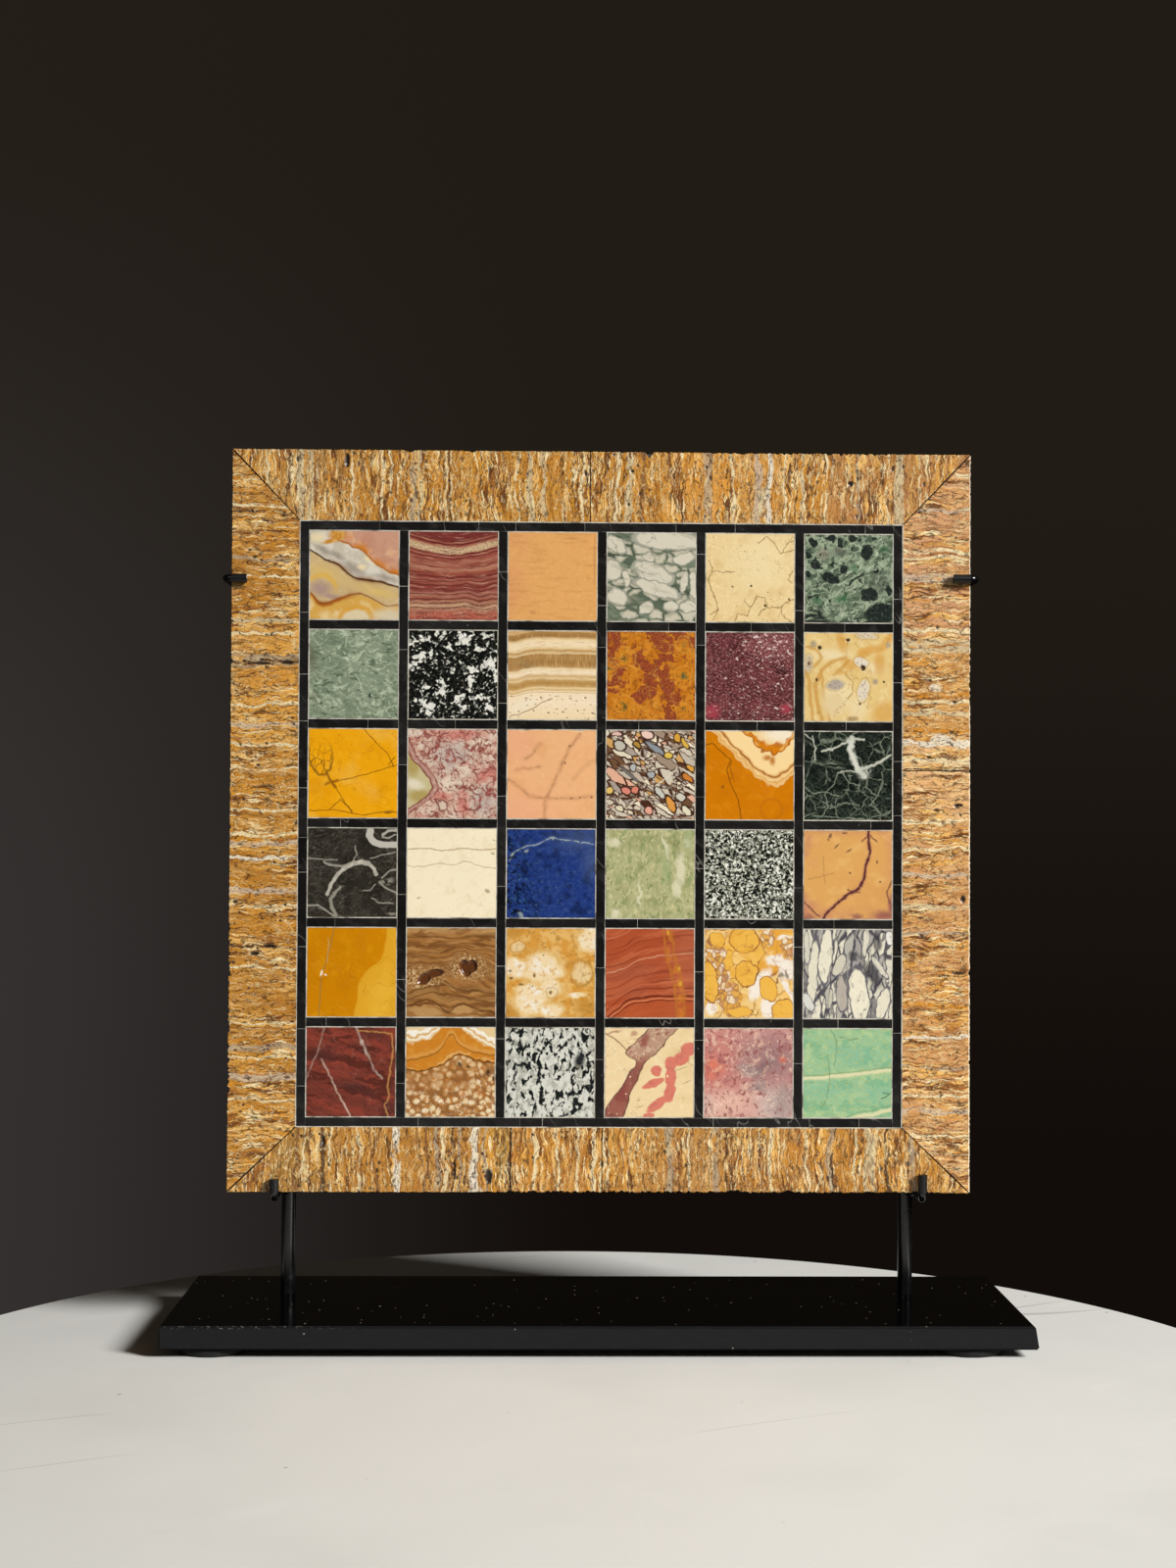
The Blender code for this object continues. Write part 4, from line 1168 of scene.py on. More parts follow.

# %% [markdown]
# Alabasters and fossil marbles have large single forms: a scalloped seam, a cloud, a shell. No
# noise draws those, so we place them one by one with a few curves and ellipses each, and let the
# warped place give them their natural outline. A line gets rounded lobes when we add the
# distance to scattered spots to it.

# %% Alabasters and fossil marbles


@paints("d0b482", .2)
def flowered_alabaster(s, at):
    s.mottle(at, "dfcaa0", "ba9a68", .1, 5, .6)
    w = at.warped(.03, .12, 2, 4)
    pink = w.drop("0 -30, 20 -10, 28 8, 42 14, 50 18, 60 23, 70 33, 78 40, 90 46, 100 50")
    dark = w.drop("0 22, 10 28, 20 34, 30 37, 40 45, 50 52, 62 55, 75 57, 90 60, 100 64")
    white = dark.fall(-.02, 0) * pink.rise(0, .03)
    s.lay("cbc2ae", white)
    s.lay("ded6c6", white * w.clouds(.12, 4, 4).rise(.44, .6))
    s.lay("988c80", white * w.blobs("50 43 14 5 32, 30 28 10 3 25, 85 53 12 3 12, 16 22 10 3 30",
            soft=.9), .8)
    s.lay("efdcae", white * w.blobs("65 30 3.5 4, 72 35 3 3, 58 41 5 3, 8 8 8 5", soft=.7), .9)
    s.lay("cc9a80", pink.fall(-.02, .01))
    s.lay("c48c74", pink.fall(-.02, .01) * w.clouds(.2, 7, 4).rise(.46, .62), .8)
    s.lay("e4b48c", pink.fall(-.02, .01) * w.clouds(.12, 3, 4).rise(.52, .66), .7)
    s.lay("cf7f30", pink.fall(0, .01) * pink.rise(-.15, -.01) * w.clouds(.14, 9).rise(.3, .55))
    s.draw("b26318", abs(pink), .003, .016, .9)
    amber = w.blobs("30 5 9 7 -30, 22 12 7 2.5 -10", soft=.5)
    s.lay("c98a34", amber)
    s.lay("dfab55", amber * w.clouds(.06, 6, 3).rise(.46, .58))
    s.lay("9a6436", abs(dark).fall(0, .06) * w.blobs("36 42 14 8 30, 62 55 16 5 5", soft=.9), .85)
    s.draw("4a2a14", abs(dark), .004, .016, .95)
    below = dark.rise(.01, .04)
    s.lay("dcbb74", below * w.blobs("15 47 20 7 20, 75 68 20 5 12", soft=.9))
    s.lay("d4b67c", below * w.blobs("50 62 16 5 15, 20 39 10 3 25", soft=.9), .8)
    arc = w.away(.12, .66, (.17, .15))
    s.lay("e0b455", abs(arc - 1).fall(.05, .35) * w.y.fall(.6, .72) * below, .9)
    s.lay("a98c86", w.blobs("12 66 11 8 15, 24 74 10 3 10", soft=.8), .85)
    rim = w.drop("0 67, 5 76, 12 82, 20 82, 30 77, 45 73, 55 71, 65 74, 80 82, 90 85, 100 83")
    s.lay("d9a850", rim.rise(0, .03))
    s.lay("e6c88c", rim.rise(.04, .12) * w.clouds(.15, 6, 4).rise(.44, .6))
    s.lay("a85a18", abs(rim - .01).fall(0, .05) * w.x.fall(.35, .6))
    s.draw("94521a", abs(rim), .002, .016, .85)
    arch = w.stroke("33 100, 37 93, 45 88, 55 85, 65 88, 71 100")
    s.lay("dfcfa8", w.blobs("53 97 15 9", soft=.3))
    s.lay("dca23c", arch.fall(.006, .045), .85)
    s.lay("d9cdb0", w.blobs("90 98 16 10", soft=.7), .9)
    s.lay("a8884e", w.spots(.06, 3).fall(.04, .14) * rim.rise(.1, .2) * w.x.rise(.6, .8), .7)


def lobed(field, w, size, reach, seed=4):
    """The same line, bulging outward in rounded lobes."""
    return field + (w.spots(size, seed) - 0.5) * reach


@paints("d07a04", .2)
def scalloped_orange_alabaster(s, at):
    s.mottle(at, "dc8a10", "c26e04", .1, 4, .6)
    s.lay("b8690e", abs(at.away(.75, .88, (.12, .12)) - 1).fall(0, .25), .5)
    w = at.warped(.02, .08, 2, 4)
    edge = w.drop("0 -14, 10 2, 20 14, 35 30, 50 44, 62 55, 75 61, 87 58, 100 47")
    rind = lobed(edge, w, .09, .07)
    s.lay("ebc07c", rind.fall(-.005, .02))
    s.lay("da9c48", abs(rind + .035).fall(0, .02), .7)
    s.lay("f3ce90", rind.fall(-.06, -.045))
    inner = lobed(edge + .1, w, .12, .05, 7)
    s.lay("cf9045", abs(inner).fall(.004, .04), .85)
    s.draw("8c5018", abs(inner), .002, .01, .85)
    s.lay("f8d89c", inner.fall(-.05, -.02))
    cloud = w.drop("0 -50, 33 -18, 42 0, 52 10, 63 20, 75 26, 88 20, 100 4")
    amber = lobed(cloud, w, .1, .12, 2)
    s.lay("d67e10", amber.fall(-.01, .015))
    s.lay("ecb45a", w.spots(.1, 2).fall(.22, .5) * amber.fall(-.04, -.01))
    s.lay("f2cc86", (amber + .1).fall(-.02, .03))
    s.lay("f6e8cc", (amber + .06).fall(-.02, .03) * w.blobs("85 4 20 8", soft=.7))
    s.draw("a2570f", abs(amber), .003, .014, .85)
    s.lay("b8681a", abs(amber + .07).fall(0, .03) * w.clouds(.1, 5, 3).rise(.42, .56), .7)
    s.lay("bd7420", w.blobs("76 33 3 5, 70 30 5 3", soft=.7), .9)
    v = at.warped(.015, .06, 3, 4)
    s.draw("744009", v.stroke("0 16, 8 14, 20 25, 29 33, 24 44, 29 60, 37 76, 41 100"), .001, .009,
            .85)
    s.draw("8a4e0e", v.stroke("30 34, 28 40, 30 48, 33 56"), .001, .009, .7)
    s.lay("8a5210", at.blobs("20 63 2 1.8, 30 53 1 1", soft=.5), .8)


@paints("cc8226", .22)
def crested_orange_alabaster(s, at):
    s.mottle(at, "db9a40", "c0731c", .09, 3, .6)
    w = at.warped(.022, .08, 2, 4)
    crest = w.drop("0 17, 15 16, 28 11, 38 3, 46 -8, 56 -8, 66 5, 80 14, 90 20, 100 25")
    white = lobed(crest, w, .07, .05)
    s.lay("e6cb98", white.fall(-.01, .02))
    s.lay("f3ead8", abs(white + .035).fall(.004, .025))
    s.lay("f6efe0", abs(white + .1).fall(.01, .03))
    s.lay("cf9242", abs(white + .07).fall(0, .02), .7)
    middle = w.drop("0 37, 20 33, 34 28, 42 20, 50 8, 58 17, 70 25, 85 29, 100 31")
    s.draw("85500f", abs(middle), .002, .012, .85)
    s.lay("dca457", abs(middle + .03).fall(0, .04), .6)
    low = lobed(w.drop("0 47, 10 49, 25 47, 40 42, 50 34, 58 31, 80 36, 100 40"), w, .08, .04, 3)
    below = low.rise(-.004, .01)
    s.lay("b9864f", below)
    lumps = w.spots(.075, 5)
    s.lay("dcb98a", below * lumps.fall(.3, .5))
    brown = w.blobs("15 62 22 14 -10, 62 58 14 8, 10 90 10 6", soft=.8)
    s.lay("a06a38", below * brown * w.clouds(.09, 8, 4).rise(.4, .56), .85)
    pale = w.y.rise(.6, .85).most(w.blobs("90 60 14 16", soft=.9))
    s.lay("e6cea2", below * pale * lumps.fall(.26, .46))
    s.lay("f0e2c4", below * pale * w.clouds(.05, 2, 4).rise(.52, .62))
    s.lay("a06c38", below * pale * w.lumps(.075, 5).fall(.02, .1), .75)
    s.lay("8a5a2c", below * lumps.rise(.5, .62) * w.clouds(.1, 6, 2).rise(.4, .52), .8)
    s.lay("bf742a", below * w.clouds(.06, 9, 3).rise(.58, .66), .7)
    s.lay("33271a", at.blobs("60 41 2.2 3 -30, 92 50 2 3 20, 70 44 2 1.2, 98 57 1.2 3", soft=.5),
            .85)
    s.draw("4f3012", abs(low), .003, .012, .85)
    s.lay("e0ba7c", abs(low + .03).fall(0, .016) * w.clouds(.2, 6, 2).rise(.42, .52), .8)


@paints("d79a42", .22)
def clouded_gold_alabaster(s, at):
    w = at.warped(.045, .11, 3, 4)
    s.clouds(w, "e4b66a", .12, 5, 4, .44, .6)
    s.lay("b98136", w.clouds(.09, 9, 5).rise(.54, .66) * w.blobs("40 15 40 16, 85 50 20 30",
            soft=.9), .9)
    s.lay("c48c3a", w.blobs("6 95 12 12, 90 88 12 10, 8 5 10 6", soft=.7), .9)
    pale = w.blobs("42 45 23 18, 10 45 13 12, 28 80 20 20, 50 66 14 10, 93 12 12 14, 50 92 14 8, "
            "80 75 10 4", soft=.5)
    cover = pale + (w.spots(.12, 6) - .4) * -.5
    s.lay("e8c486", cover.rise(.1, .45))
    s.lay("f0d8ac", cover.rise(.4, .8))
    s.lay("f3ead8", cover.rise(.6, 1) * w.clouds(.1, 8, 4).rise(.44, .6))
    s.lay("d9ae62", abs(cover - .4).fall(0, .16) * w.clouds(.1, 3, 3).rise(.4, .55), .8)
    s.lay("daac66", cover.rise(.5, .7) * w.clouds(.05, 4, 4).rise(.52, .66), .8)
    for x, y, wide, tall in ((.13, .2, .09, .07), (.85, .5, .13, .16), (.52, .72, .07, .06)):
        ring = w.away(x, y, (wide, tall))
        s.lay("ead2a0", ring.fall(.5, 1), .8)
        s.lay("b98a3e", abs(ring - .95).fall(0, .18), .7)
    s.lay("a3762c", w.threads(.14, .02, 8, 4) * pale.fall(.2, .6), .7)
    s.lay("6a4a1c", at.warped(.01, .03, 2).blobs("5 48 1.6 1.2, 6 56 2.2 1.6, 32 53 1.4 2, "
            "17 63 3 1.4, 30 65 1.2 .8, 50 72 1.6 2, 42 30 1 .8", soft=.6), .85)
    s.specks(at, "c59a52", .045, 7, .06, .2, .55, .6, .7)


@paints("c5761d", .2)
def speckled_orange_alabaster(s, at):
    w = at.warped(.045, .08, 3, 4)
    s.clouds(w, "d68a2c", .09, 4, 4, .46, .58, .8)
    s.clouds(w, "a3601a", .06, 9, 5, .52, .62, .8)
    branch = w.stroke("52 0, 62 12, 68 24, 62 36", "34 30, 48 42, 60 50, 70 62, 75 80, 72 95",
            "2 0, 12 10, 2 25", "40 72, 50 60", "10 36, 14 50, 4 60", "62 10, 78 5, 100 10")
    red = branch.fall(0, .17) * .26 + w.clouds(.07, 6, 4)
    s.lay("944428", red.rise(.62, .7), .85)
    s.lay("7d3a2c", red.rise(.62, .68) * at.clouds(.02, 2, 2).rise(.46, .56), .9)
    s.lay("b8572a", red.rise(.66, .7) * at.clouds(.018, 8, 2).rise(.58, .64), .8)
    for x, y, size in marks("20 30 12, 3 42 8, 20 84 12, 87 50 11, 87 14 9, 86 88 8"):
        eye = w.away(x, y)
        s.lay("d58a24", eye.fall(size * .5, size), .7)
        s.draw("e0a040", abs(eye - size), 0, .016, .4)
        s.lay("7d6c34", eye.fall(size * .1, size * .7) * w.clouds(.04, 5, 3).rise(.46, .58))
        s.lay("4c4a28", eye.fall(0, size * .5) * w.clouds(.03, 7, 2).rise(.5, .58), .9)
    s.lay("e0a850", w.threads(.12, .025, 5, 4) * w.clouds(.2, 8, 2).rise(.46, .56), .5)
    s.specks(at, "7a3d14", .04, 3, .12, .26, .5, .55, .8)
    s.clouds(w, "6a3212", .035, 11, 3, .62, .68, .8)


@paints("e4c683", .22, deep="4c3518")
def golden_fossil_marble(s, at):
    s.mottle(at, "efd9a6", "d9b267", .09, 3, .6)
    s.lay("efdfb6", at.blobs("30 25 20 6, 60 85 10 12, 80 40 10 6", soft=.9), .7)
    w = at.warped(.03, .1, 2, 4)
    s.lay("d6a04c", w.blobs("42 10 5 12 -15, 52 36 10 6 25, 44 45 8 2.5 -8, 85 35 6 12, "
            "90 90 12 12, 66 24 8 5 -20", soft=.6), .75)
    s.lay("dba654", w.stroke("100 2, 88 16, 65 22").fall(.02, .07), .85)
    for line, wide in (("47 27, 33 32, 20 42, 12 60, 15 80, 20 100", .012),
            ("0 42, 6 56, 7 75, 10 100", .01), ("20 44, 22 70, 27 90, 30 100", .004),
            ("2 15, 14 20, 20 28, 12 38", .006), ("50 30, 40 42, 33 47", .006)):
        s.lay("c9933f", w.stroke(line).fall(wide, wide + .022), .7)
    s.lay("ecd9aa", w.blobs("38 69 16 20", soft=.35), .85)
    s.lay("e2cb9a", w.blobs("33 82 12 13", soft=.4), .9)
    s.draw("a8803f", w.stroke("47 47, 54 56, 55 66, 50 74"), .001, .01, .85)
    for x, y, wide, tall, turn, tone in marks("5 35 5 10 0 c9baa0, 35 59 10 6 -8 b0a59a, "
            "64 33 8 6 25 e6dccb, 67 65 6.5 13 10 e3d8c4, 80 55 3.5 3.5 0 c9b896, "
            "10 13 4.5 4 0 b3a284, 95 13 3 3.5 0 b8a88a, 71 4 12 3.5 0 dccdb2, "
            "55 97 6 3 0 b59a6c"):
        bone = w.away(x, y, (wide, tall), turn)
        s.lay(tone, bone.fall(.75, 1.1), .9)
        s.lay("7d6c54", bone.fall(.7, 1) * w.clouds(.02, 6, 2).rise(.54, .62), .7)
        s.lay("a98a58", abs(bone - 1.1).fall(0, .16), .5)
    s.lay("a3907c", w.blobs("6 34 2.2 3, 80 55 1.8 2", soft=.6), .9)
    s.lay("4c3518", at.blobs("66.5 40 3 2.6, 17 17 1.3 1.2, 50 8 1.2 1.1, 90 55 1.4 1.2, "
            "14 53 1.2 2, 63 80 1.4 1.4, 5 35 1.2 1.6", soft=.35))
    s.lay("b98c42", w.threads(.25, .01, 5, 4) * w.clouds(.2, 8, 2).rise(.46, .56), .7)


@paints("2c2822", .22)
def black_fossil_limestone(s, at):
    s.clouds(at, "3c3830", .09, 4, 5, .45, .62, .9)
    s.clouds(at, "231f19", .2, 7, 3, .5, .65, .8)
    w = at.warped(.04, .07, 2, 4)
    curls = w.clouds(.3, 5, 2).rise(.44, .56)
    s.lay("6b665c", w.threads(.09, .016, 6, 2, stretch=(1.5, .7), turn=-25, twist=1.2) * curls,
            .85)
    s.lay("7d786c", w.threads(.12, .012, 9, 2, stretch=(1.4, .6), turn=30, twist=1.5) *
            w.clouds(.25, 3, 2).rise(.48, .58), .8)
    s.clouds(w, "5d584e", .03, 8, 3, .6, .68, .7, stretch=(1.8, .6), turn=-20)
    v = at.warped(.016, .06, 2, 4)
    arc = v.stroke("22 74, 27 62, 33 53, 40 46")
    arc = arc.least(v.stroke("40 46, 50 40, 60 38, 68 40") - .006)
    arc = arc.least(v.stroke("68 40, 74 45, 77 52"))
    s.lay("aaa598", arc.fall(.016, .026))
    s.lay("c6c1b3", arc.fall(0, .018) * v.clouds(.08, 3, 3).rise(.4, .5))
    shell = v.stroke("70 3, 69 8, 71 13, 75 16, 80 18, 88 19, 100 18")
    s.lay("c2beb2", (shell - v.clouds(.1, 3, 2) * .02).fall(.02, .032))
    s.lay("b0aca0", v.stroke("84 8, 90 3, 100 2").fall(.008, .02))
    s.lay("a5a194", v.stroke("83 10, 90 11, 98 7").fall(.004, .014), .9)
    for line, wide in (
            ("0 34.5, 12 35, 25 36, 33 36", .002), ("18 38, 24 41, 34 42.5, 44 42", .008),
            ("53 20, 55 30, 50 38, 44 42", .002), ("0 87, 12 86.5, 22 93, 32 100", .006),
            ("70 34, 85 30, 98 27", .002), ("80 60, 86 66, 100 73", .006),
            ("83 56, 93 47, 100 46", .004), ("62 70, 70 70, 76 63", .002),
            ("72 78, 80 84, 96 84", .002)):
        s.draw("a09b8e", v.stroke(line), wide, .009, .85)
    tube = v.stroke("37 66, 31 72, 26 80, 28 90, 33 100")
    s.lay("9a9587", (tube - v.clouds(.035, 6, 3) * .04).fall(-.012, .006), .9)
    s.lay("8d887b", v.blobs("90 60 6 3 -20, 84 60 3 2, 95 96 4 2", soft=.7)
          * v.clouds(.05, 7, 3).rise(.42, .54))
    s.lay("4a3a28", at.spots(.2, 9).fall(.03, .06), .7)


print(f"painters so far: {len(PAINTERS)}")

# %% [markdown]
# Last come the veined stones. Their ground was crushed, and white calcite filled the cracks. A
# thick vein is a stroke, thin ones are threads of noise, and a net of veins is the edges of
# warped cells.

# %% Veined stones


@paints("121713", .18)
def veined_black_serpentine(s, at):
    w = at.warped(.05, .09, 2, 5)
    s.clouds(w, "1a221d", .09, 4, 5, .46, .6)
    low = at.y.rise(.3, .75) * .5 + .5
    s.lay("404a40", w.threads(.07, .03, 6, 4, stretch=(1.6, .7), turn=-55, twist=.8), .55)
    s.lay("5d675a", w.threads(.09, .02, 12, 4, stretch=(1.6, .7), turn=40) * low, .65)
    net = w.lumps(.19, 3, (1.1, 1), 15) - w.clouds(.05, 5, 3) * .06
    s.lay("7d8573", net.fall(-.03, .008) * w.clouds(.22, 8, 2).rise(.38, .52), .85)
    s.lay("69725f", w.lumps(.08, 6).fall(0, .035) * w.clouds(.2, 2, 3).rise(.48, .6) * low, .8)
    s.lay("939b8a", w.clouds(.03, 9, 3).rise(.56, .66) *
            w.blobs("30 80 10 8, 80 86 10 6, 55 50 8 4", soft=.9), .8)
    v = at.warped(.03, .06, 5, 5)
    ragged = v.clouds(.035, 4, 4) * .032
    thick = v.stroke("54 8, 52 20, 56 32, 62 44, 68 50")
    s.lay("a5aa9c", (thick - ragged).fall(.012, .03))
    s.lay("d6d6c8", (thick - ragged).fall(0, .016))
    s.lay("c4c6b8", v.blobs("68 46 6 6, 53 10 5 3", soft=.8) * v.clouds(.04, 6, 4).rise(.42, .52))
    for line, wide in (("67 42, 80 37, 97 27", .012), ("20 22, 32 20, 44 14, 53 8, 68 9", .006),
            ("66 46, 50 44, 38 46", 0), ("10 5, 13 20, 12 32", 0), ("0 3, 10 10, 14 20", 0)):
        s.lay("c4c6b6", (v.stroke(line) - ragged * .5).fall(wide - .01, wide + .005), .95)
    for line in ("72 50, 70 62, 78 70, 86 72", "44 46, 50 58, 62 60", "0 62, 10 70, 24 68, 40 72",
            "10 95, 40 97, 80 100", "90 55, 84 70, 76 82, 86 92", "38 46, 34 60, 24 68",
            "24 68, 27 85, 20 97", "30 86, 48 80, 62 84"):
        s.draw("868e7c", v.stroke(line) - ragged * .3, -.004, .01, .85)


@paints("74372c", .2)
def red_levanto_marble(s, at):
    w = at.warped(.06, .14, 3, 5)
    s.clouds(w, "8a3e30", .2, 4, 2, .46, .56, .9, stretch=(1.6, .6), turn=12)
    s.lay("964234", w.blobs("30 12 20 10 5, 45 42 14 8 10, 88 28 10 10, 15 45 12 5, 85 75 10 8, "
            "40 90 12 5", soft=.9) * w.clouds(.1, 6, 3).rise(.38, .54), .6)
    s.clouds(w, "53271f", .17, 8, 2, .52, .6, .85, stretch=(1.8, .5), turn=12)
    s.lay("45241f", w.threads(.13, .025, 11, 4, stretch=(1.7, .6), turn=18), .6)
    s.lay("4c2a28", w.blobs("20 30 12 7, 50 65 20 5 20, 90 90 10 5, 70 10 10 5", soft=.9), .7)
    v = at.warped(.02, .06, 5, 5)
    patchy = v.clouds(.07, 6, 3).rise(.3, .5) * .5 + .4
    for line, wide, colour in (
            ("20 0, 17 12, 14 25, 5 45, 0 58", .004, "9a7568"),
            ("17 36, 27 55, 38 78, 50 100", .004, "b8988a"),
            ("56 0, 62 16, 70 32, 76 48, 85 57", .005, "a58b80"),
            ("58 4, 75 5, 96 7, 97 30, 94 50, 91 65, 93 78, 88 87, 92 100", .003, "b8824a")):
        s.lay(colour, v.stroke(line).fall(wide, wide + .012) * patchy)
    s.lay("cbb4a6", v.blobs("62 17 2 3, 66 27 1.2 5 -20, 45 90 .8 8 -25", soft=.5), .7)
    s.lay("94685a", v.threads(.22, .008, 7, 4) * v.clouds(.3, 2).rise(.48, .56), .6)


@paints("9bc094", .2)
def sea_green_marble(s, at):
    s.clouds(at, "7db289", .14, 3, 4, .46, .6, .8, stretch=(1.5, .7))
    s.clouds(at, "b2cc98", .1, 6, 5, .5, .64, .8)
    s.lay("80b79a", at.blobs("60 30 30 12, 20 68 30 10, 85 72 20 12", soft=.9), .6)
    s.clouds(at, "b0be80", .04, 8, 3, .52, .64, .6)
    w = at.warped(.02, .1, 2, 4)
    stripe = w.drop("0 56, 30 54, 60 51, 100 46")
    s.lay("c2cf9c", abs(stripe).fall(.01, .05), .7)
    s.lay("dcd8ae", abs(stripe).fall(.008, .024))
    s.draw("6d8a5c", abs(stripe + .03), .001, .009, .6)
    low = w.drop("50 103, 65 98, 80 95.5, 100 90")
    s.lay("d9d6aa", abs(low).fall(.012, .03))
    s.lay("6f9668", abs(low + .045).fall(.002, .012), .6)
    for line in ("30 0, 37 10, 38 25, 35 42", "28 30, 30 60, 26 80, 20 90", "40 10, 55 12, 62 11"):
        s.draw("5c7c56", at.warped(.03, .06, 4, 5).stroke(line), 0, .009, .65)
    dashes = at.warped(.02, .05, 5).spots(.06, 7, (1.6, .7), -12)
    s.lay("56764e", dashes.fall(.05, .14) * at.kinds(.06, 7, (1.6, .7), -12).rise(.4, .46), .8)
    s.specks(at, "6d8f62", .028, 9, .12, .26, .6, .66, .8)
    s.lay("4f6f48", w.stroke("88 78, 100 72", "90 72, 98 73").fall(0, .012), .8)


print(f"painters so far: {len(PAINTERS)} of {len(SPECIMENS)}")


# %% Hand the painted stones to the squares
for stone_name, node in SPECIMENS.items():
    low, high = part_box(node)
    painter, ground, rough, deep = PAINTERS[stone_name]
    stone = Stone(stone_name, (low[0], FACE, high[2]), SIDE)
    stone.ground(ground)
    painter(stone, stone.at)
    squares[stone_name].data.materials.append(stone.finish(rough, deep=deep))
print(f"painted {len(SPECIMENS)} squares")

# %% [markdown]
# The border is cut from one bed of banded travertine, sawn across its layers, so the bands run
# straight across each side. Its pieces share one coordinate along the side, in millimetres.
# The layers are noise stretched across the border, in several widths and tones. The strongest
# bands are placed one by one. Travertine is porous: small holes are hollows in the mesh, and the
# outer edge broke where a hole met it, so it gets notches and ragged stretches.

# %% The travertine's patterns
TABLET_LEFT, TABLET_TOP = slab_low[0], slab_high[2]
TABLET_RIGHT, TABLET_BOTTOM = slab_high[0], slab_low[2]
TONES = {"cream": "f3dfb0", "white": "f2e8d2", "grey": "b2a48c", "pale": "d9cba4",
         "dark": "4e3520", "amber": "d48c28", "lilac": "cbbca8", "brown": "8a5c30"}


def sides(**tables):
    """A table of rows for each side of the border."""
    return {side: rows(text) for side, text in tables.items()}


# Along each side in millimetres: place, half width and tone of its strongest bands.
BANDS = sides(
    top="14 .4 cream, 27.5 1.4 pale, 31.5 1.2 pale, 48.5 .5 cream, 61 .4 cream, 64 .4 cream, "
        "73.5 1.2 grey, 76 .7 pale, 86.5 .6 cream, 88 .35 dark, 89 .3 cream, 115.5 .4 cream, "
        "120.5 1.2 pale, 126 .9 pale, 142 .5 cream, 156 .7 cream, 161 1.5 pale, 166 1 brown, "
        "193 1.8 grey, 203 .7 cream, 213 1.4 lilac, 217.5 1.2 white, 224 .5 cream, 231 .7 pale, "
        "240.5 .5 cream, 254 .9 grey, 266 .4 cream, 271 2 pale, 279 .35 cream, 282 .5 cream",
    bottom="28 .8 brown, 31 .4 cream, 38.8 .7 dark, 41.5 .5 cream, 53 .6 cream, 60 .5 brown, "
        "68.5 1.4 white, 80 .6 brown, 84.5 1 grey, 87.5 .9 cream, 91.5 .4 dark, 94 .5 grey, "
        "99.5 1.9 white, 104 .8 grey, 114 .5 dark, 124 .7 cream, 133 .5 cream, 141.5 .6 cream, "
        "148 .7 cream, 151.5 .5 cream, 178 1.6 grey, 186 .5 cream, 197 1.3 grey, 201 .3 dark, "
        "219 .6 cream, 234 .5 cream, 243.5 1 grey, 244.5 .4 dark, 254 .5 cream, 259.5 2.2 pale, "
        "266 .8 dark, 277 1.4 grey",
    left="23.5 .7 cream, 26 .4 dark, 45 .6 grey, 51.5 .45 cream, 70 .9 pale, 75 .6 cream, "
        "84.5 1.3 grey, 86.3 .6 dark, 87.8 .6 grey, 103.5 .5 cream, 112 1.2 lilac, 120 .6 cream, "
        "130 .5 cream, 146 .5 cream, 156 .6 cream, 159.5 1 lilac, 166 .7 white, 179 1.1 lilac, "
        "183 .4 dark, 185 .5 cream, 201 .5 dark, 210 .5 cream, 232 .4 cream, 242 1.5 grey, "
        "246 .4 cream, 254 1.6 lilac, 263 .5 cream",
    right="8.5 .8 cream, 23 .8 lilac, 40 .8 cream, 42.5 .4 cream, 50.5 1.8 lilac, 71.5 .9 cream, "
        "78 3 pale, 98 1 amber, 101 .7 cream, 106 1 pale, 113 .9 amber, 118 1.4 white, "
        "125 1 cream, 129 .4 dark, 149 .6 cream, 161 .6 cream, 171 .7 lilac, 184 .9 pale, "
        "195 .6 grey, 224 .9 amber, 237 .7 white, 249 .5 grey, 260 .6 cream, 266.5 1.4 lilac, "
        "277 .7 cream")
# Blots: along, across, half length, half width, tone. Tints: from, to, colour and strength.
BLOTS = sides(
    top="82.5 14 2.6 5 amber, 200 5 2.8 5 amber, 204 10 2.2 6 amber, 216 18 6 7 amber, "
        "207 21 2 2.4 amber, 251 12 1.2 1.4 dark, 46 4 .8 2.6 dark, 131 6 3 6 amber, "
        "215 20 1.6 6 pale",
    bottom="105.5 19 1.2 3.2 dark, 212.5 19 2.6 5 amber, 229 12 4 7 amber",
    left="38 14 3.2 9 amber, 93 14 5 12 amber, 252 18 3.5 7 amber",
    right="205 24 4.2 3.6 amber, 205 24 2.2 2 brown, 95 14 2 3 white, 116 12 2 4.5 white")
TINTS = sides(
    top="240 300 b58560 .5, 90 146 c98c30 .35, 20 46 a98a5c .35, 175 202 f0a844 .7, "
        "202 229 eab060 .4",
    bottom="0 300 a46f36 .2, 18 40 a08040 .5, 106 114 b08c3c .6, 114 151 c98430 .6, "
        "160 240 b48452 .35",
    left="67 121 eeae4c .7, 200 240 b88038 .3",
    right="0 75 dea880 .7, 130 300 dea87c .55, 75 130 dea86c .5, 118 150 fccc94 .7")


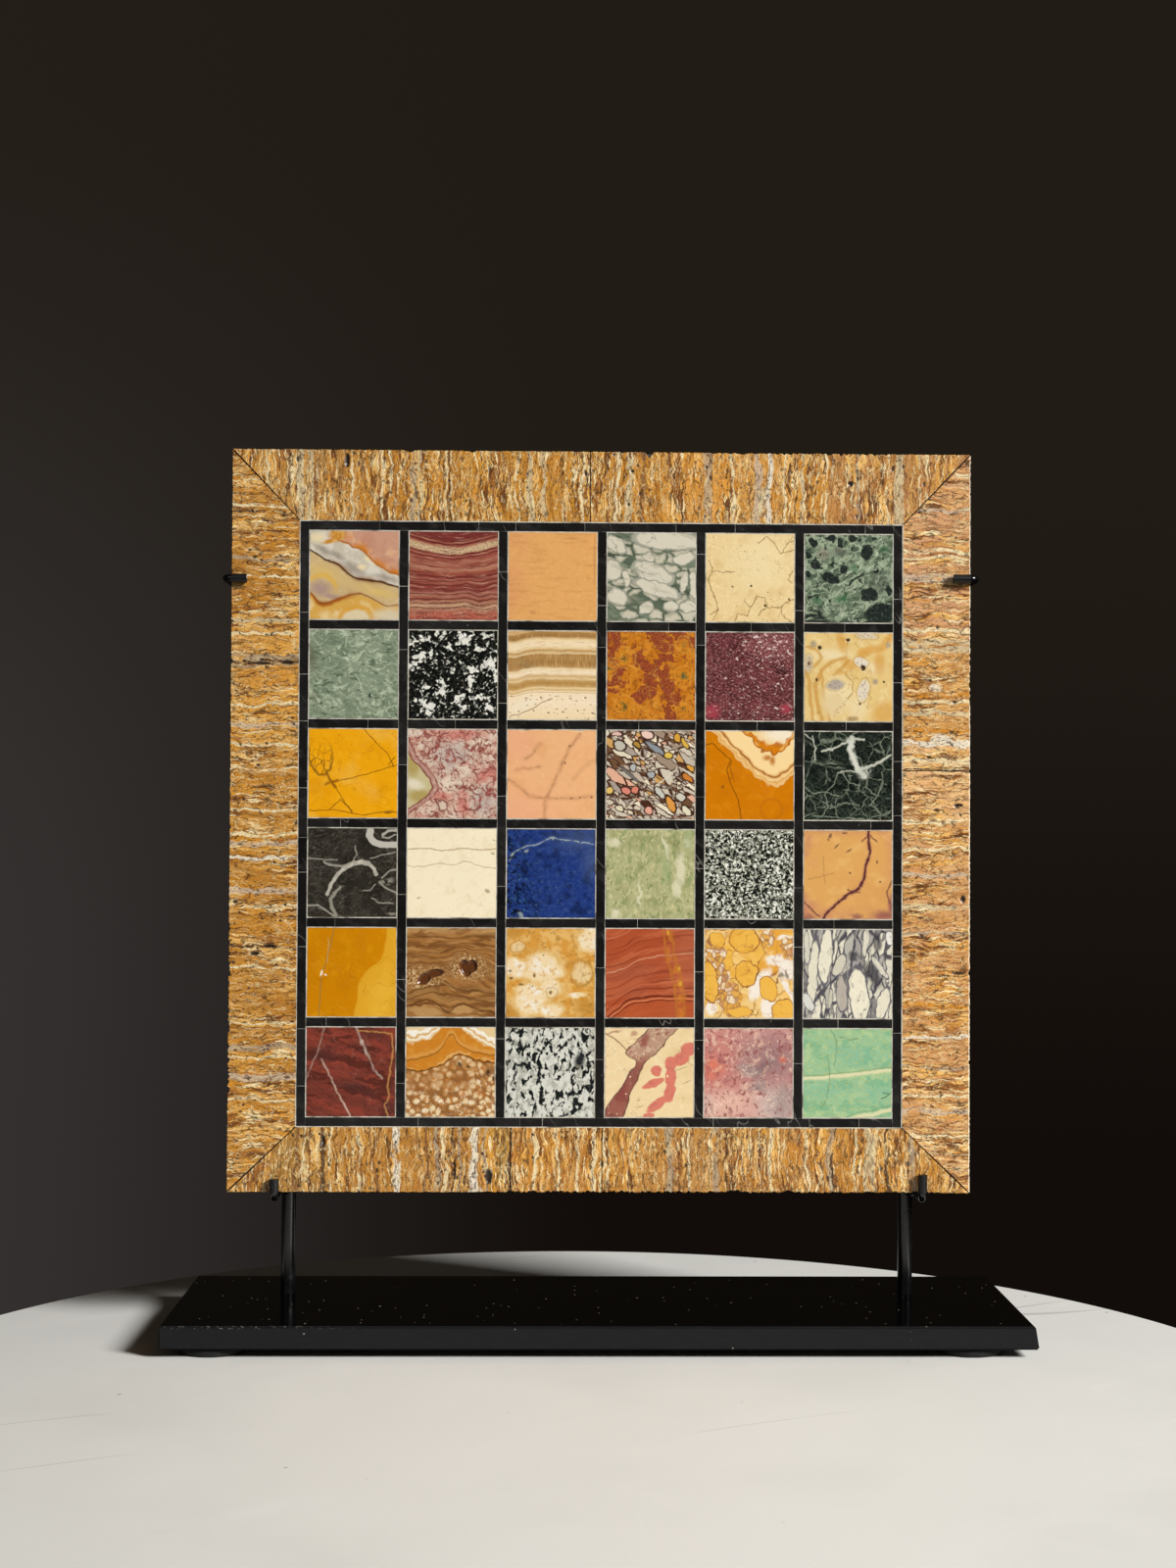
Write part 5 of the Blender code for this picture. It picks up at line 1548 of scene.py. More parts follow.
def travertine(side):
    """The border's stone for one side, with its bands across it."""
    upright = side in ("left", "right")
    inner_left = lattice_low[0] - JOINT
    corner = {"top": (TABLET_LEFT, FACE, TABLET_TOP),
              "bottom": (TABLET_LEFT, FACE, lattice_low[2] - JOINT),
              "left": (inner_left, FACE, TABLET_TOP),
              "right": (TABLET_RIGHT, FACE, TABLET_TOP)}[side]
    s = Stone(f"banded_travertine_{side}", corner, MM, upright)
    seed = 10 * list(BANDS).index(side)
    at = s.at
    w = at.warped(2.6, 11, seed, 2).warped(0.8, 2.4, seed + 1, 3)
    s.ground("c8882c")
    for start, end, colour, much in TINTS[side]:
        s.lay(colour, w.x.rise(start - 2, start + 2) * w.x.fall(end - 2, end + 2) * much)
    lively = w.clouds(9, seed + 3, 1, stretch=(1, 5)).rise(0.42, 0.55) * 0.7 + 0.3
    for size, long, low, high, colour, much in (
            (4.5, 8, .48, .60, "e6a645", .7), (2.6, 11, .53, .60, "9e6226", .9),
            (1.7, 10, .53, .60, "f3c06e", .95), (3.2, 7, .57, .66, "de962a", .7),
            (1.5, 9, .57, .61, "764414", 1), (0.9, 12, .58, .62, "fee8b4", 1),
            (0.7, 6, .60, .65, "4d2f15", .8)):
        layer = w.clouds(size, seed + long, 3, stretch=(1, long)).rise(low, high)
        s.lay(colour, layer * lively * much)
        seed += 1
    for along, across, half_long, half_wide, tone in BLOTS[side]:
        blot = w.away(along, across, (half_long, half_wide))
        s.lay(TONES[tone], blot.fall(0.6, 1.1) * (0.55 if tone == "amber" else 0.85))
        s.lay(TONES["brown"], abs(blot - 1.1).fall(0.03, 0.15) * 0.5)
    broken = w.clouds(5, seed, 2, stretch=(0.4, 1.6)).rise(0.34, 0.46)
    for place, half, tone in BANDS[side]:
        mask = abs(w.x - place).fall(half * 0.8, half * 1.15)
        s.lay(TONES[tone], mask * broken * (0.7 if tone in ("pale", "grey", "lilac") else 0.95))
    curls = at.warped(0.9, 1.5, seed + 7, 3).threads(2.0, 0.04, seed + 8, 2, stretch=(1, 3))
    s.lay("f2daa2", curls * w.clouds(9, seed + 9, 2).rise(0.42, 0.56) * 0.75)
    s.lay("452a12", w.threads(2.4, 0.03, seed + 2, 3, stretch=(1, 4)) * broken * 0.9)
    s.lay("5c3a1c", w.threads(1.2, 0.04, seed + 3, 2, stretch=(1, 4)) * 0.45)
    s.lay("f3e0b6", at.clouds(0.7, seed + 4, 3).rise(0.6, 0.7) * 0.4)
    s.lay("7d5229", at.clouds(0.8, seed + 5, 3).rise(0.57, 0.68) * 0.6)
    s.lay("3d2815", at.spots(2.2, seed + 6, (0.8, 1.3)).fall(0.07, 0.16) * 0.7)
    if side == "right":  # the light catches its rubbed arris
        # a painted highlight: the rubbed arris on the right side is painted pale, where the light
        # catches it
        painted_arris_highlight = (at.y + at.clouds(1.6, 4, 3) * 0.9).fall(0.85, 1.05)
        s.lay("fdf0d8", painted_arris_highlight * at.axis(2).fall(0.5, 0.8) * 0.85)
    return s.finish(0.34, unit=36, deep="2e1f12")


TRAVERTINE = {side: travertine(side) for side in BANDS}
print(f"{sum(len(bands) for bands in BANDS.values())} bands placed on four sides")

# %% [markdown]
# Each border piece is a sawn block like the squares, with mitred ends at the corners of the
# tablet. We find out from the node's box whether an end reaches a corner. The wear along the
# outer edge is a function of the place along the side, so it runs on from piece to piece.

# %% The border's worn pieces
# Notches: place, half width and depth. Ragged: from, to and depth. All in millimetres.
NOTCHES = sides(
    top="72 1.3 .7, 97 .9 .6, 158 .9 .4, 169 1.1 2.4, 247 .5 1.2",
    bottom="40 .7 .4, 105 .8 .5, 114 .8 .7, 204 3.2 .7, 226 2.6 .5",
    left="86 .8 .9, 100 .7 .5, 153 .9 .5",
    right="129 .5 .5, 211 .9 .6, 247 .6 .4")
RAGGED = sides(
    top="0 300 .22, 190 272 .5",
    bottom="0 300 .3, 105 290 .7",
    left="0 300 .3, 188 268 .9",
    right="0 300 .25, 60 110 .3")
PORES = sides(
    top="46.5 4.5 .7 2.4, 250.8 12.4 .8 .9, 162 8 .5 .5, 268 6 .4 .9",
    bottom="91.6 16 .35 3.4, 105.4 20 1 2.4, 38.9 6 .4 2",
    left="86.5 5 .7 2.2, 87 15 .5 3, 201 11 .5 2, 204 17 .6 1.6",
    right="143 5 .6 1.6, 181 3 1.2 .8, 211 5 .5 2, 145 14 .4 1")

SCATTERED_PORES = 60  # more of them on each side, wherever chance puts them


def along_side(side, points):
    """Millimetres along a side of the border, from the left or from the top."""
    if side in ("top", "bottom"):
        return (points[..., 0] - TABLET_LEFT) / MM
    return (TABLET_TOP - points[..., 1]) / MM


def across_side(side, points):
    """Millimetres across a side, as its stone counts them."""
    if side == "left":
        return (lattice_low[0] - JOINT - points[..., 0]) / MM
    if side == "right":
        return (TABLET_RIGHT - points[..., 0]) / MM
    start = TABLET_TOP if side == "top" else lattice_low[2] - JOINT
    return (start - points[..., 1]) / MM


def edge_wear(side):
    """How far the outer edge is worn in, along the whole side."""
    rng = np.random.default_rng(list(BANDS).index(side) + 7)
    places = np.arange(0, 301, 0.7)
    grit = rng.random(len(places)) ** 2

    def wear(edge):
        along = along_side(side, edge)
        rough = np.interp(along, places, grit)
        worn = 0.05 + 0 * along
        for start, end, deep in RAGGED[side]:
            inside = np.clip(np.minimum(along - start, end - along) / 6, 0, 1)
            worn = worn + deep * inside * rough
        for place, half, deep in NOTCHES[side]:
            worn = worn + deep * np.exp(-((along - place) / half) ** 2)
        return worn * MM
    return wear


def pores(side):
    """The depth of the travertine's holes at each place of a side."""
    rng = np.random.default_rng(list(BANDS).index(side) + 21)
    holes = [(*pore, 0.7) for pore in PORES[side]]
    for place, half, tone in BANDS[side]:
        for _ in range(3 if tone in ("dark", "grey", "brown") else 1):
            size = rng.uniform(0.25, 0.5)
            holes.append((place + rng.normal(0, 1.2), rng.uniform(1, 28), size,
                          size * rng.uniform(1, 2.4), rng.uniform(0.2, 0.45)))
    for _ in range(SCATTERED_PORES):
        size = rng.uniform(0.2, 0.42)
        holes.append((rng.uniform(0, 300), rng.uniform(0.5, 28.5), size,
                      size * rng.uniform(1, 2), rng.uniform(0.15, 0.35)))

    def depth(points):
        along, across = along_side(side, points), across_side(side, points)
        total = np.zeros(along.shape)
        for x, y, half_long, half_wide, deep in holes:
            ring = np.hypot((along - x) / half_long, (across - y) / half_wide)
            total = np.maximum(total, deep * MM * np.clip(1.4 - ring, 0, 0.6) / 0.6)
        return total
    return depth


INNER = (lattice_low[0] - JOINT, lattice_high[2] + JOINT, lattice_high[0] + JOINT,
         lattice_low[2] - JOINT)
OUTER = (TABLET_LEFT, TABLET_TOP, TABLET_RIGHT, TABLET_BOTTOM)
MITRE = 0.7 * JOINT


def border_corners(side, low, high):
    """The four corners of a border piece, with a mitre where it reaches the tablet's corner."""
    flat = side in ("top", "bottom")
    outside_first = side in ("top", "left")
    line = {"left": 0, "top": 1, "right": 2, "bottom": 3}[side]
    # along a flat side we go from left to right, along an upright one from top to bottom
    ends, step = ((low[0], high[0]), 1) if flat else ((high[2], low[2]), -1)
    far, near = [], []
    for end, corner, inwards in zip(ends, (0, 2) if flat else (1, 3), (step, -step)):
        mitred = abs(end - OUTER[corner]) < MM
        far.append(end + MITRE * inwards * mitred)
        near.append(INNER[corner] + MITRE * inwards if mitred else end)
    edges = [(OUTER[line], far), (INNER[line], near)]
    if not outside_first:
        edges.reverse()
    if flat:
        (high_z, upper), (low_z, lower) = edges
        return [(upper[0], high_z), (upper[1], high_z), (lower[1], low_z), (lower[0], low_z)]
    (left_x, left), (right_x, right) = edges
    return [(left_x, left[0]), (right_x, right[0]), (right_x, right[1]), (left_x, left[1])]


border_pieces = []
for index, node in enumerate(BORDERS):
    side = node.split("_")[1]
    low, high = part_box(node)
    piece = sawn_block(f"worn_{node}", border_corners(side, low, high), low[1], high[1],
                       np.random.default_rng(300 + index), spacing=0.5 * MM, wear=0.1 * MM,
                       bites={side: edge_wear(side)}, hollows=pores(side), softened=(side,))
    piece.data.materials.append(TRAVERTINE[side])
    border_pieces.append(settle(piece, "banded_travertine", node))
print(f"made {len(border_pieces)} border pieces")

# %% [markdown]
# Narrow strips of black marble part the squares. The mason used short ends, so each run has a
# butt joint every few centimetres. Strips repeat along straight lines, which is work for
# Geometry Nodes: a mesh of edges, one for each strip, becomes curves, the curves wander a
# little, and a rectangle is swept along them. Each strip keeps a random tone as an attribute.

# %% Lay out the strips


def line_place(step):
    """Middle of the grid line that is a number of pitches in from the lattice's edge."""
    return STRIP / 2 + step * PITCH


def runs():
    """Every strip as its two ends, in millimetres right of and below the lattice's corner."""
    rng = random.Random(12)
    whole = 6 * PITCH + STRIP
    pieces = []

    def cut(start, end, cuts, along_x, line):
        marks = [start, *sorted(cuts), end]
        for first, last in zip(marks, marks[1:]):
            ends = ((first + BUTT, line), (last - BUTT, line))
            pieces.append(ends if along_x else tuple((y, x) for x, y in ends))

    side_cuts = [[(37, 62, 81, 108, 128, 142, 172, 205, 228), (30, 64, 96, 118, 146, 175, 206)],
                 [(32, 72, 87, 115, 152, 176, 229), (49, 90, 99, 168, 207, 227)]]
    for line, cuts in zip((line_place(0), line_place(6)), side_cuts[0]):
        cut(0, whole, [c * MM for c in cuts], False, line)
    for line, cuts in zip((line_place(0), line_place(6)), side_cuts[1]):
        cut(STRIP, whole - STRIP, [c * MM for c in cuts], True, line)
    for column in range(1, 6):
        cuts = [line_place(row) + PITCH * rng.uniform(0.15, 0.85) for row in range(6)
                if rng.random() < 0.85]
        cut(STRIP, whole - STRIP, cuts, False, line_place(column))
    for row in range(1, 6):
        for column in range(6):
            start = line_place(column) + STRIP / 2 + CROSSING
            end = line_place(column + 1) - STRIP / 2 - CROSSING
            cuts = [start + (end - start) * rng.uniform(0.2, 0.8)] if rng.random() < 0.45 else []
            cut(start, end, cuts, True, line_place(row))
    return pieces


BUTT = 0.07 * MM
CROSSING = 0.1 * MM
strip_runs = runs()
corner_x, corner_z = lattice_low[0], lattice_high[2]
print(f"{len(strip_runs)} strips of black marble")

# %% Sweep them with Geometry Nodes


def sweep_tree(name, values, shape):
    """A tree that turns a mesh of edges into curves and sweeps a profile along them.

    values are its inputs, and shape bends the curves and makes the profile."""
    tree = bpy.data.node_groups.new(name, "GeometryNodeTree")
    for title, kind in (("Geometry", "Geometry"), *values, ("Material", "Material")):
        tree.interface.new_socket(title, in_out="INPUT", socket_type=f"NodeSocket{kind}")
    tree.interface.new_socket("Geometry", in_out="OUTPUT", socket_type="NodeSocketGeometry")
    given = tree.nodes.new("NodeGroupInput").outputs

    def step(kind, *inputs, output=0, **settings):
        return add_node(tree, kind, *inputs, **settings).outputs[output]

    curves = step("GeometryNodeMeshToCurve", given["Geometry"])
    curves, profile = shape(step, given, curves)
    solid = step("GeometryNodeCurveToMesh",
                 {"Curve": curves, "Profile Curve": profile, "Fill Caps": True})
    solid = step("GeometryNodeRealizeInstances", solid)
    solid = step("GeometryNodeSetMaterial", {"Geometry": solid, "Material": given["Material"]})
    tree.links.new(solid, tree.nodes.new("NodeGroupOutput").inputs[0])
    return tree


def wandering_strips(step, given, curves):
    """Gives each strip a random tone and lets it wander a little. Its profile is a rectangle."""
    tone = step("FunctionNodeRandomValue", {"Seed": given["Seed"]}, data_type="FLOAT", output=1)
    curves = step("GeometryNodeStoreNamedAttribute",
                  {"Geometry": curves, "Name": "tone", "Value": tone},
                  data_type="FLOAT", domain="CURVE")
    curves = step("GeometryNodeResampleCurve",
                  {"Curve": curves, "Length": given["Spacing"]}, mode="LENGTH")
    noise = step("ShaderNodeTexNoise", {"Scale": 120, "Detail": 1}, output="Color")
    centred = step("ShaderNodeVectorMath", noise, (0.5, 0.5, 0.5), operation="SUBTRACT")
    move = step("ShaderNodeVectorMath", {0: centred, "Scale": given["Wander"]}, operation="SCALE")
    curves = step("GeometryNodeSetPosition", {"Geometry": curves, "Offset": move})
    curves = step("GeometryNodeSetCurveNormal", {"Curve": curves, "Normal": (0, 1, 0)},
                  mode="FREE")
    return curves, step("GeometryNodeCurvePrimitiveQuadrilateral",
                        {"Width": given["Depth"], "Height": given["Width"]})


def grown(name, verts, edges, tree, **values):
    """Runs a Geometry Nodes tree on a mesh of edges and keeps the result as a plain mesh."""
    seed_mesh = bpy.data.meshes.new(name)
    seed_mesh.from_pydata(verts, edges, [])
    seed = put(name, seed_mesh)
    modifier = seed.modifiers.new("grow", "NODES")
    modifier.node_group = tree
    for item in tree.interface.items_tree:
        if item.in_out == "INPUT" and item.name in values:
            modifier[item.identifier] = values[item.name]
    graph = bpy.context.evaluated_depsgraph_get()
    mesh = bpy.data.meshes.new_from_object(seed.evaluated_get(graph))
    seed.modifiers.remove(modifier)
    seed.data = mesh
    return seed


def black_marble():
    """Near-black marble with grey smears, hairlines, scratches and white specks."""
    s = Stone("black_marble", (0, FACE, 0), SIDE)
    at = s.at
    tone = Field(s, s.node("ShaderNodeAttribute", attribute_name="tone").outputs["Fac"])
    s.ground("151413")
    s.lay("262524", tone.rise(0.2, 1.0) * 0.7)
    s.lay("2e2d2b", at.clouds(0.15, 3, 4, stretch=(1.5, 0.8), turn=25).rise(0.5, 0.7) * 0.7)
    s.lay("0b0b0b", at.clouds(0.4, 5, 3).rise(0.5, 0.65) * 0.6)
    s.lay("7d7a74", at.threads(0.8, 0.004, 7, 3, stretch=(2, 0.7), turn=65)
          * at.clouds(0.6, 9).rise(0.55, 0.62) * 0.7)
    s.lay("b9b5ac", at.spots(0.09, 4).fall(0.03, 0.07) * at.kinds(0.09, 4).rise(0.72, 0.75) * 0.7)
    return s.finish(0.24)


verts = []
for (ax, az), (bx, bz) in strip_runs:
    for x, z in ((ax, az), (bx, bz)):
        verts.append((corner_x + x, (FACE + FACING_BACK) / 2, corner_z - z))
numbers = [(name, "Float") for name in ("Width", "Depth", "Spacing", "Wander")]
strips = grown("black_marble_strips", verts, [(i, i + 1) for i in range(0, len(verts), 2)],
               sweep_tree("sawn_strips", [*numbers, ("Seed", "Int")], wandering_strips),
               Width=STRIP, Depth=FACING_BACK - FACE, Spacing=3 * MM, Wander=0.16 * MM,
               Seed=4, Material=black_marble())
strips.data.shade_flat()
settle(strips, "black_marble", "strip_left", "strip_right", "strip_top", "strip_bottom",
       "strips_inner_lattice")
print(f"the strips have {len(strips.data.polygons)} faces")

# %% [markdown]
# Pale mortar shows as hairlines round every square, along the border and in the butt joints.
# It was struck flush and sank a little as it dried; in the border's joints it is lower and dark.
# One ring of mortar runs round each square, from the edge of the strips to just under the
# square's own edge, and short bars fill the rest.

# %% Fill the joints with mortar
SUNK = 0.05 * MM  # the mortar between the squares lies this far below the face
BORDER_SUNK, MITRE_SUNK = 0.4 * MM, 0.7 * MM
MORTAR_DEPTH = 1.5 * MM


def mortar_bodies():
    """Rings and bars of mortar as vertices and faces."""
    verts, faces = [], []
    rng = np.random.default_rng(5)

    def ring(outer, inner, front, back):
        """A closed band between two loops with as many points."""
        count, first = len(outer), len(verts)
        for loop, y in ((outer, front), (inner, front), (inner, back), (outer, back)):
            wave = 0.03 * MM * rng.random(count) if y == front else np.zeros(count)
            verts.extend((x, y + dip, z) for (x, z), dip in zip(loop, wave))
        for k in range(4):
            here, there = first + k * count, first + (k + 1) % 4 * count
            for i in range(count):
                j = (i + 1) % count
                faces.append((here + i, here + j, there + j, there + i))

    def loop(box, by, steps=14):
        """Points round a box that is grown by a little."""
        corners = box_corners(box[0] - by, box[1] + by, box[2] + by, box[3] - by)
        return [(ax + (bx - ax) * t, az + (bz - az) * t)
                for (ax, az), (bx, bz) in zip(corners, corners[1:] + corners[:1])
                for t in np.linspace(0, 1, steps, endpoint=False)]

    def bar(start, end, half, sunk=SUNK):
        """A thin bar of mortar from one place on the face to another."""
        a, b = np.array(start), np.array(end)
        side = np.array([-(b - a)[1], (b - a)[0]]) / np.linalg.norm(b - a) * half
        corners = [a + side, a - side, b - side, b + side]
        first = len(verts)
        for y in (FACE + sunk, FACING_BACK):
            verts.extend((x, y, z) for x, z in corners)
        f = first
        faces.extend([(f, f + 1, f + 2, f + 3), (f + 7, f + 6, f + 5, f + 4)])
        faces.extend((f + k, f + 4 + k, f + 4 + (k + 1) % 4, f + (k + 1) % 4) for k in range(4))

    back = FACE + MORTAR_DEPTH
    for node in SPECIMENS.values():
        low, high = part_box(node)
        box = (low[0], high[2], high[0], low[2])
        ring(loop(box, JOINT + 0.05 * MM), loop(box, -0.12 * MM), FACE + SUNK, back)
    box = (lattice_low[0], lattice_high[2], lattice_high[0], lattice_low[2])
    ring(loop(box, JOINT + 0.12 * MM), loop(box, -0.05 * MM), FACE + SUNK, back)
    butts = set()
    for (ax, ay), (bx, by) in strip_runs:
        flat = ay == by
        butts |= {(round(ax - BUTT * flat, 6), round(ay - BUTT * (not flat), 6), flat),
                  (round(bx + BUTT * flat, 6), round(by + BUTT * (not flat), 6), flat)}
    for x, y, flat in sorted(butts):
        reach = np.array((0, STRIP / 2) if flat else (STRIP / 2, 0))
        middle = np.array((corner_x + x, corner_z - y))
        bar(middle - reach, middle + reach, 1.6 * BUTT)
    for column, row in ((0, 1), (2, 1), (2, 3), (0, 3)):
        outer, inner = (OUTER[column], OUTER[row]), (INNER[column], INNER[row])
        towards = np.array(inner) - np.array(outer)
        bar(np.array(outer) + towards * 0.02, inner, 0.8 * MITRE, MITRE_SUNK)
    for piece in BORDERS:
        side = piece.split("_")[1]
        low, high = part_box(piece)
        if side in ("top", "bottom") and high[0] < TABLET_RIGHT - MM:
            bar((high[0] + JOINT / 2, low[2] + 0.6 * MM), (high[0] + JOINT / 2, high[2] - 0.6 * MM),
                0.6 * JOINT, BORDER_SUNK)
        if side == "right" and low[2] > TABLET_BOTTOM + MM:
            bar((low[0] + 0.6 * MM, low[2] - JOINT / 2), (high[0] - 0.6 * MM, low[2] - JOINT / 2),
                0.6 * JOINT, BORDER_SUNK)
    return verts, faces


verts, faces = mortar_bodies()
mesh = bpy.data.meshes.new("mortar_joints")
mesh.from_pydata(verts, [], [tuple(int(i) for i in face) for face in faces])
bm = bmesh.new()
bm.from_mesh(mesh)
bmesh.ops.recalc_face_normals(bm, faces=bm.faces)
bm.to_mesh(mesh)
bm.free()
s = Stone("pale_mortar", (0, FACE, 0), SIDE)
s.ground("cfcabe")
s.lay("98907f", s.at.clouds(0.12, 3, 4).rise(0.45, 0.65) * 0.7)
s.lay("4c463c", s.at.clouds(0.3, 6, 3).rise(0.54, 0.68) * 0.8)
s.lay("2b241c", s.at.axis(2).rise(0.005, 0.008))
mesh.materials.append(s.finish(0.75))
settle(put("mortar_joints", mesh), None)
print(f"mortar fills {len(SPECIMENS) + 1} rings, and the butt joints of {len(strip_runs)} strips")

# %% [markdown]
# The facing is bedded on a slab of dark slate. From the back it is the whole tablet: sawn, not
# polished, with the saw's faint parallel marks, chipped edges, and rust-brown and pale stains.
# It is the same sawn block, turned round so that its fine side looks back.

# %% The slate backing slab


def saw_marks(points):
    """Shallow parallel marks of the saw, stronger in some places than in others."""
    x, z = points[..., 0] / MM, points[..., 1] / MM
    slope = z + 0.07 * x + 0.6 * np.sin(x / 23)
    strength = 0.5 + 0.5 * np.sin(x / 31 + 1) * np.sin(z / 47)
    return 0.05 * MM * strength * (1 + np.sin(slope * 2 * math.pi / 5.2)) / 2


def slate():
    s = Stone("slate_back", (0, slab_high[1], TABLET_TOP), 100 * MM)
    at = s.at
    s.ground("3b3d3e")
    s.lay("4b4e4f", at.clouds(0.25, 2, 5, stretch=(2, 0.7), turn=5).rise(0.45, 0.65))
    s.lay("2b2d2e", at.clouds(0.08, 4, 4, stretch=(3, 0.6), turn=5).rise(0.5, 0.68) * 0.8)
    s.lay("6d6a62", at.warped(0.1, 0.3, 2).clouds(0.7, 6, 4).rise(0.56, 0.72) * 0.6)
    s.lay("5f4a36", at.clouds(0.5, 9, 4).rise(0.6, 0.72) * 0.6)
    s.lay("9a978c", at.threads(0.5, 0.004, 5, 0, stretch=(9, 0.25), turn=-20)
          * at.clouds(0.5, 3).rise(0.5, 0.6) * 0.5)
    s.lay("bdb8aa", at.spots(0.12, 8).fall(0.04, 0.09) * at.kinds(0.12, 8).rise(0.7, 0.75) * 0.7)
    return s.finish(0.6, unit=1)


slab = sawn_block("slate_backing_slab", box_corners(*OUTER), slab_high[1], slab_low[1],
                  np.random.default_rng(77), spacing=1.3 * MM, wear=1.1 * MM, hollows=saw_marks)
slab.data.materials.append(slate())
settle(slab, "backing_slate", "backing_slab")
print(f"the slab is {(slab_high[1] - slab_low[1]) / MM:.1f} mm thick")

# %% [markdown]
# The stand is blackened steel. On each side one rod is bent under the tablet as a hook, and one
# reaches round its edge as a clip, and both are brazed to a round post. A rod follows a path, so
# Geometry Nodes bend it: the corners become a curve, Fillet Curve rounds them, and a circle is
# swept along. Booleans join the rods, the post and the beads of braze into one piece, as the
# torch did. The tips have a skin of soft black rubber, so that no steel touches the stone, and
# the left clip's end is rubbed bare, with a painted highlight on its upper part.

# %% Bend the rods and braze them to the posts
CM = 10 * MM
POST_RADIUS, ROD_RADIUS, ROD_BEND = 3.0 * MM, 1.6 * MM, 2.5 * MM
COAT, BARE = 0.28 * MM, 0.15 * MM  # the rubber on the tips, and how far the steel looks out
HOOK_OFFSET = 3.0 * MM  # a hook lies this much further out than its post
TIPS = {"left": (5.8 * MM, 6.8 * MM), "right": (8.0 * MM, 7.5 * MM)}  # of the hook, of the clip


def bent_rod(step, given, curves):
    """Rounds the corners of a rod. Its profile is a circle."""
    curves = step("GeometryNodeFilletCurve",
                  {"Curve": curves, "Radius": given["Bend"], "Count": 8}, mode="POLY")
    return curves, step("GeometryNodeCurvePrimitiveCircle",
                        {"Resolution": given["Sides"], "Radius": given["Radius"]})


def bead(name, place, size, material):
    """A flattened lump of braze."""
    bm = bmesh.new()
    bmesh.ops.create_uvsphere(bm, u_segments=20, v_segments=12, radius=1)
    bmesh.ops.scale(bm, verts=bm.verts, vec=size)
    bmesh.ops.translate(bm, verts=bm.verts, vec=place)
    mesh = baked(name, bm)
    mesh.materials.append(material)
    return put(name, mesh)


def brazed(first, *others):
    """Joins pieces into one closed mesh."""
    for other in others:
        union = first.modifiers.new("braze", "BOOLEAN")
        union.operation, union.solver, union.object = "UNION", "EXACT", other
        union.material_mode = "TRANSFER"
    graph = bpy.context.evaluated_depsgraph_get()
    mesh = bpy.data.meshes.new_from_object(first.evaluated_get(graph))
    first.modifiers.clear()
    first.data = mesh
    for other in others:
        bpy.data.objects.remove(other, do_unlink=True)
    mesh.shade_smooth()
    mesh.set_sharp_from_angle(angle=math.radians(38))
    return first


def steel(name, rough, worn):
    """Blackened steel: near black, with a faint brush grain, rubbed places and dust."""
    s = Stone(name, (0, 0, 0), CM)
    s.at = Place(s, s.node("ShaderNodeTexCoord").outputs["Object"]).turned(CM)
    at = s.at
    s.ground("0b0b0c")
    s.lay("141416", at.clouds(0.6, 2, 4).rise(0.45, 0.7) * 0.8)
    s.lay("050506", at.clouds(0.25, 5, 4).rise(0.52, 0.7) * 0.7)
    s.lay("55524d", at.threads(1.3, 0.004, 8, 3, stretch=(2, 0.5), turn=30)
          * at.clouds(0.9, 4).rise(0.55, 0.65) * worn)
    s.lay("8a857c", at.spots(0.35, 6).fall(0.02, 0.05) * at.kinds(0.35, 6).rise(0.75, 0.78) * worn)
    return s, rough


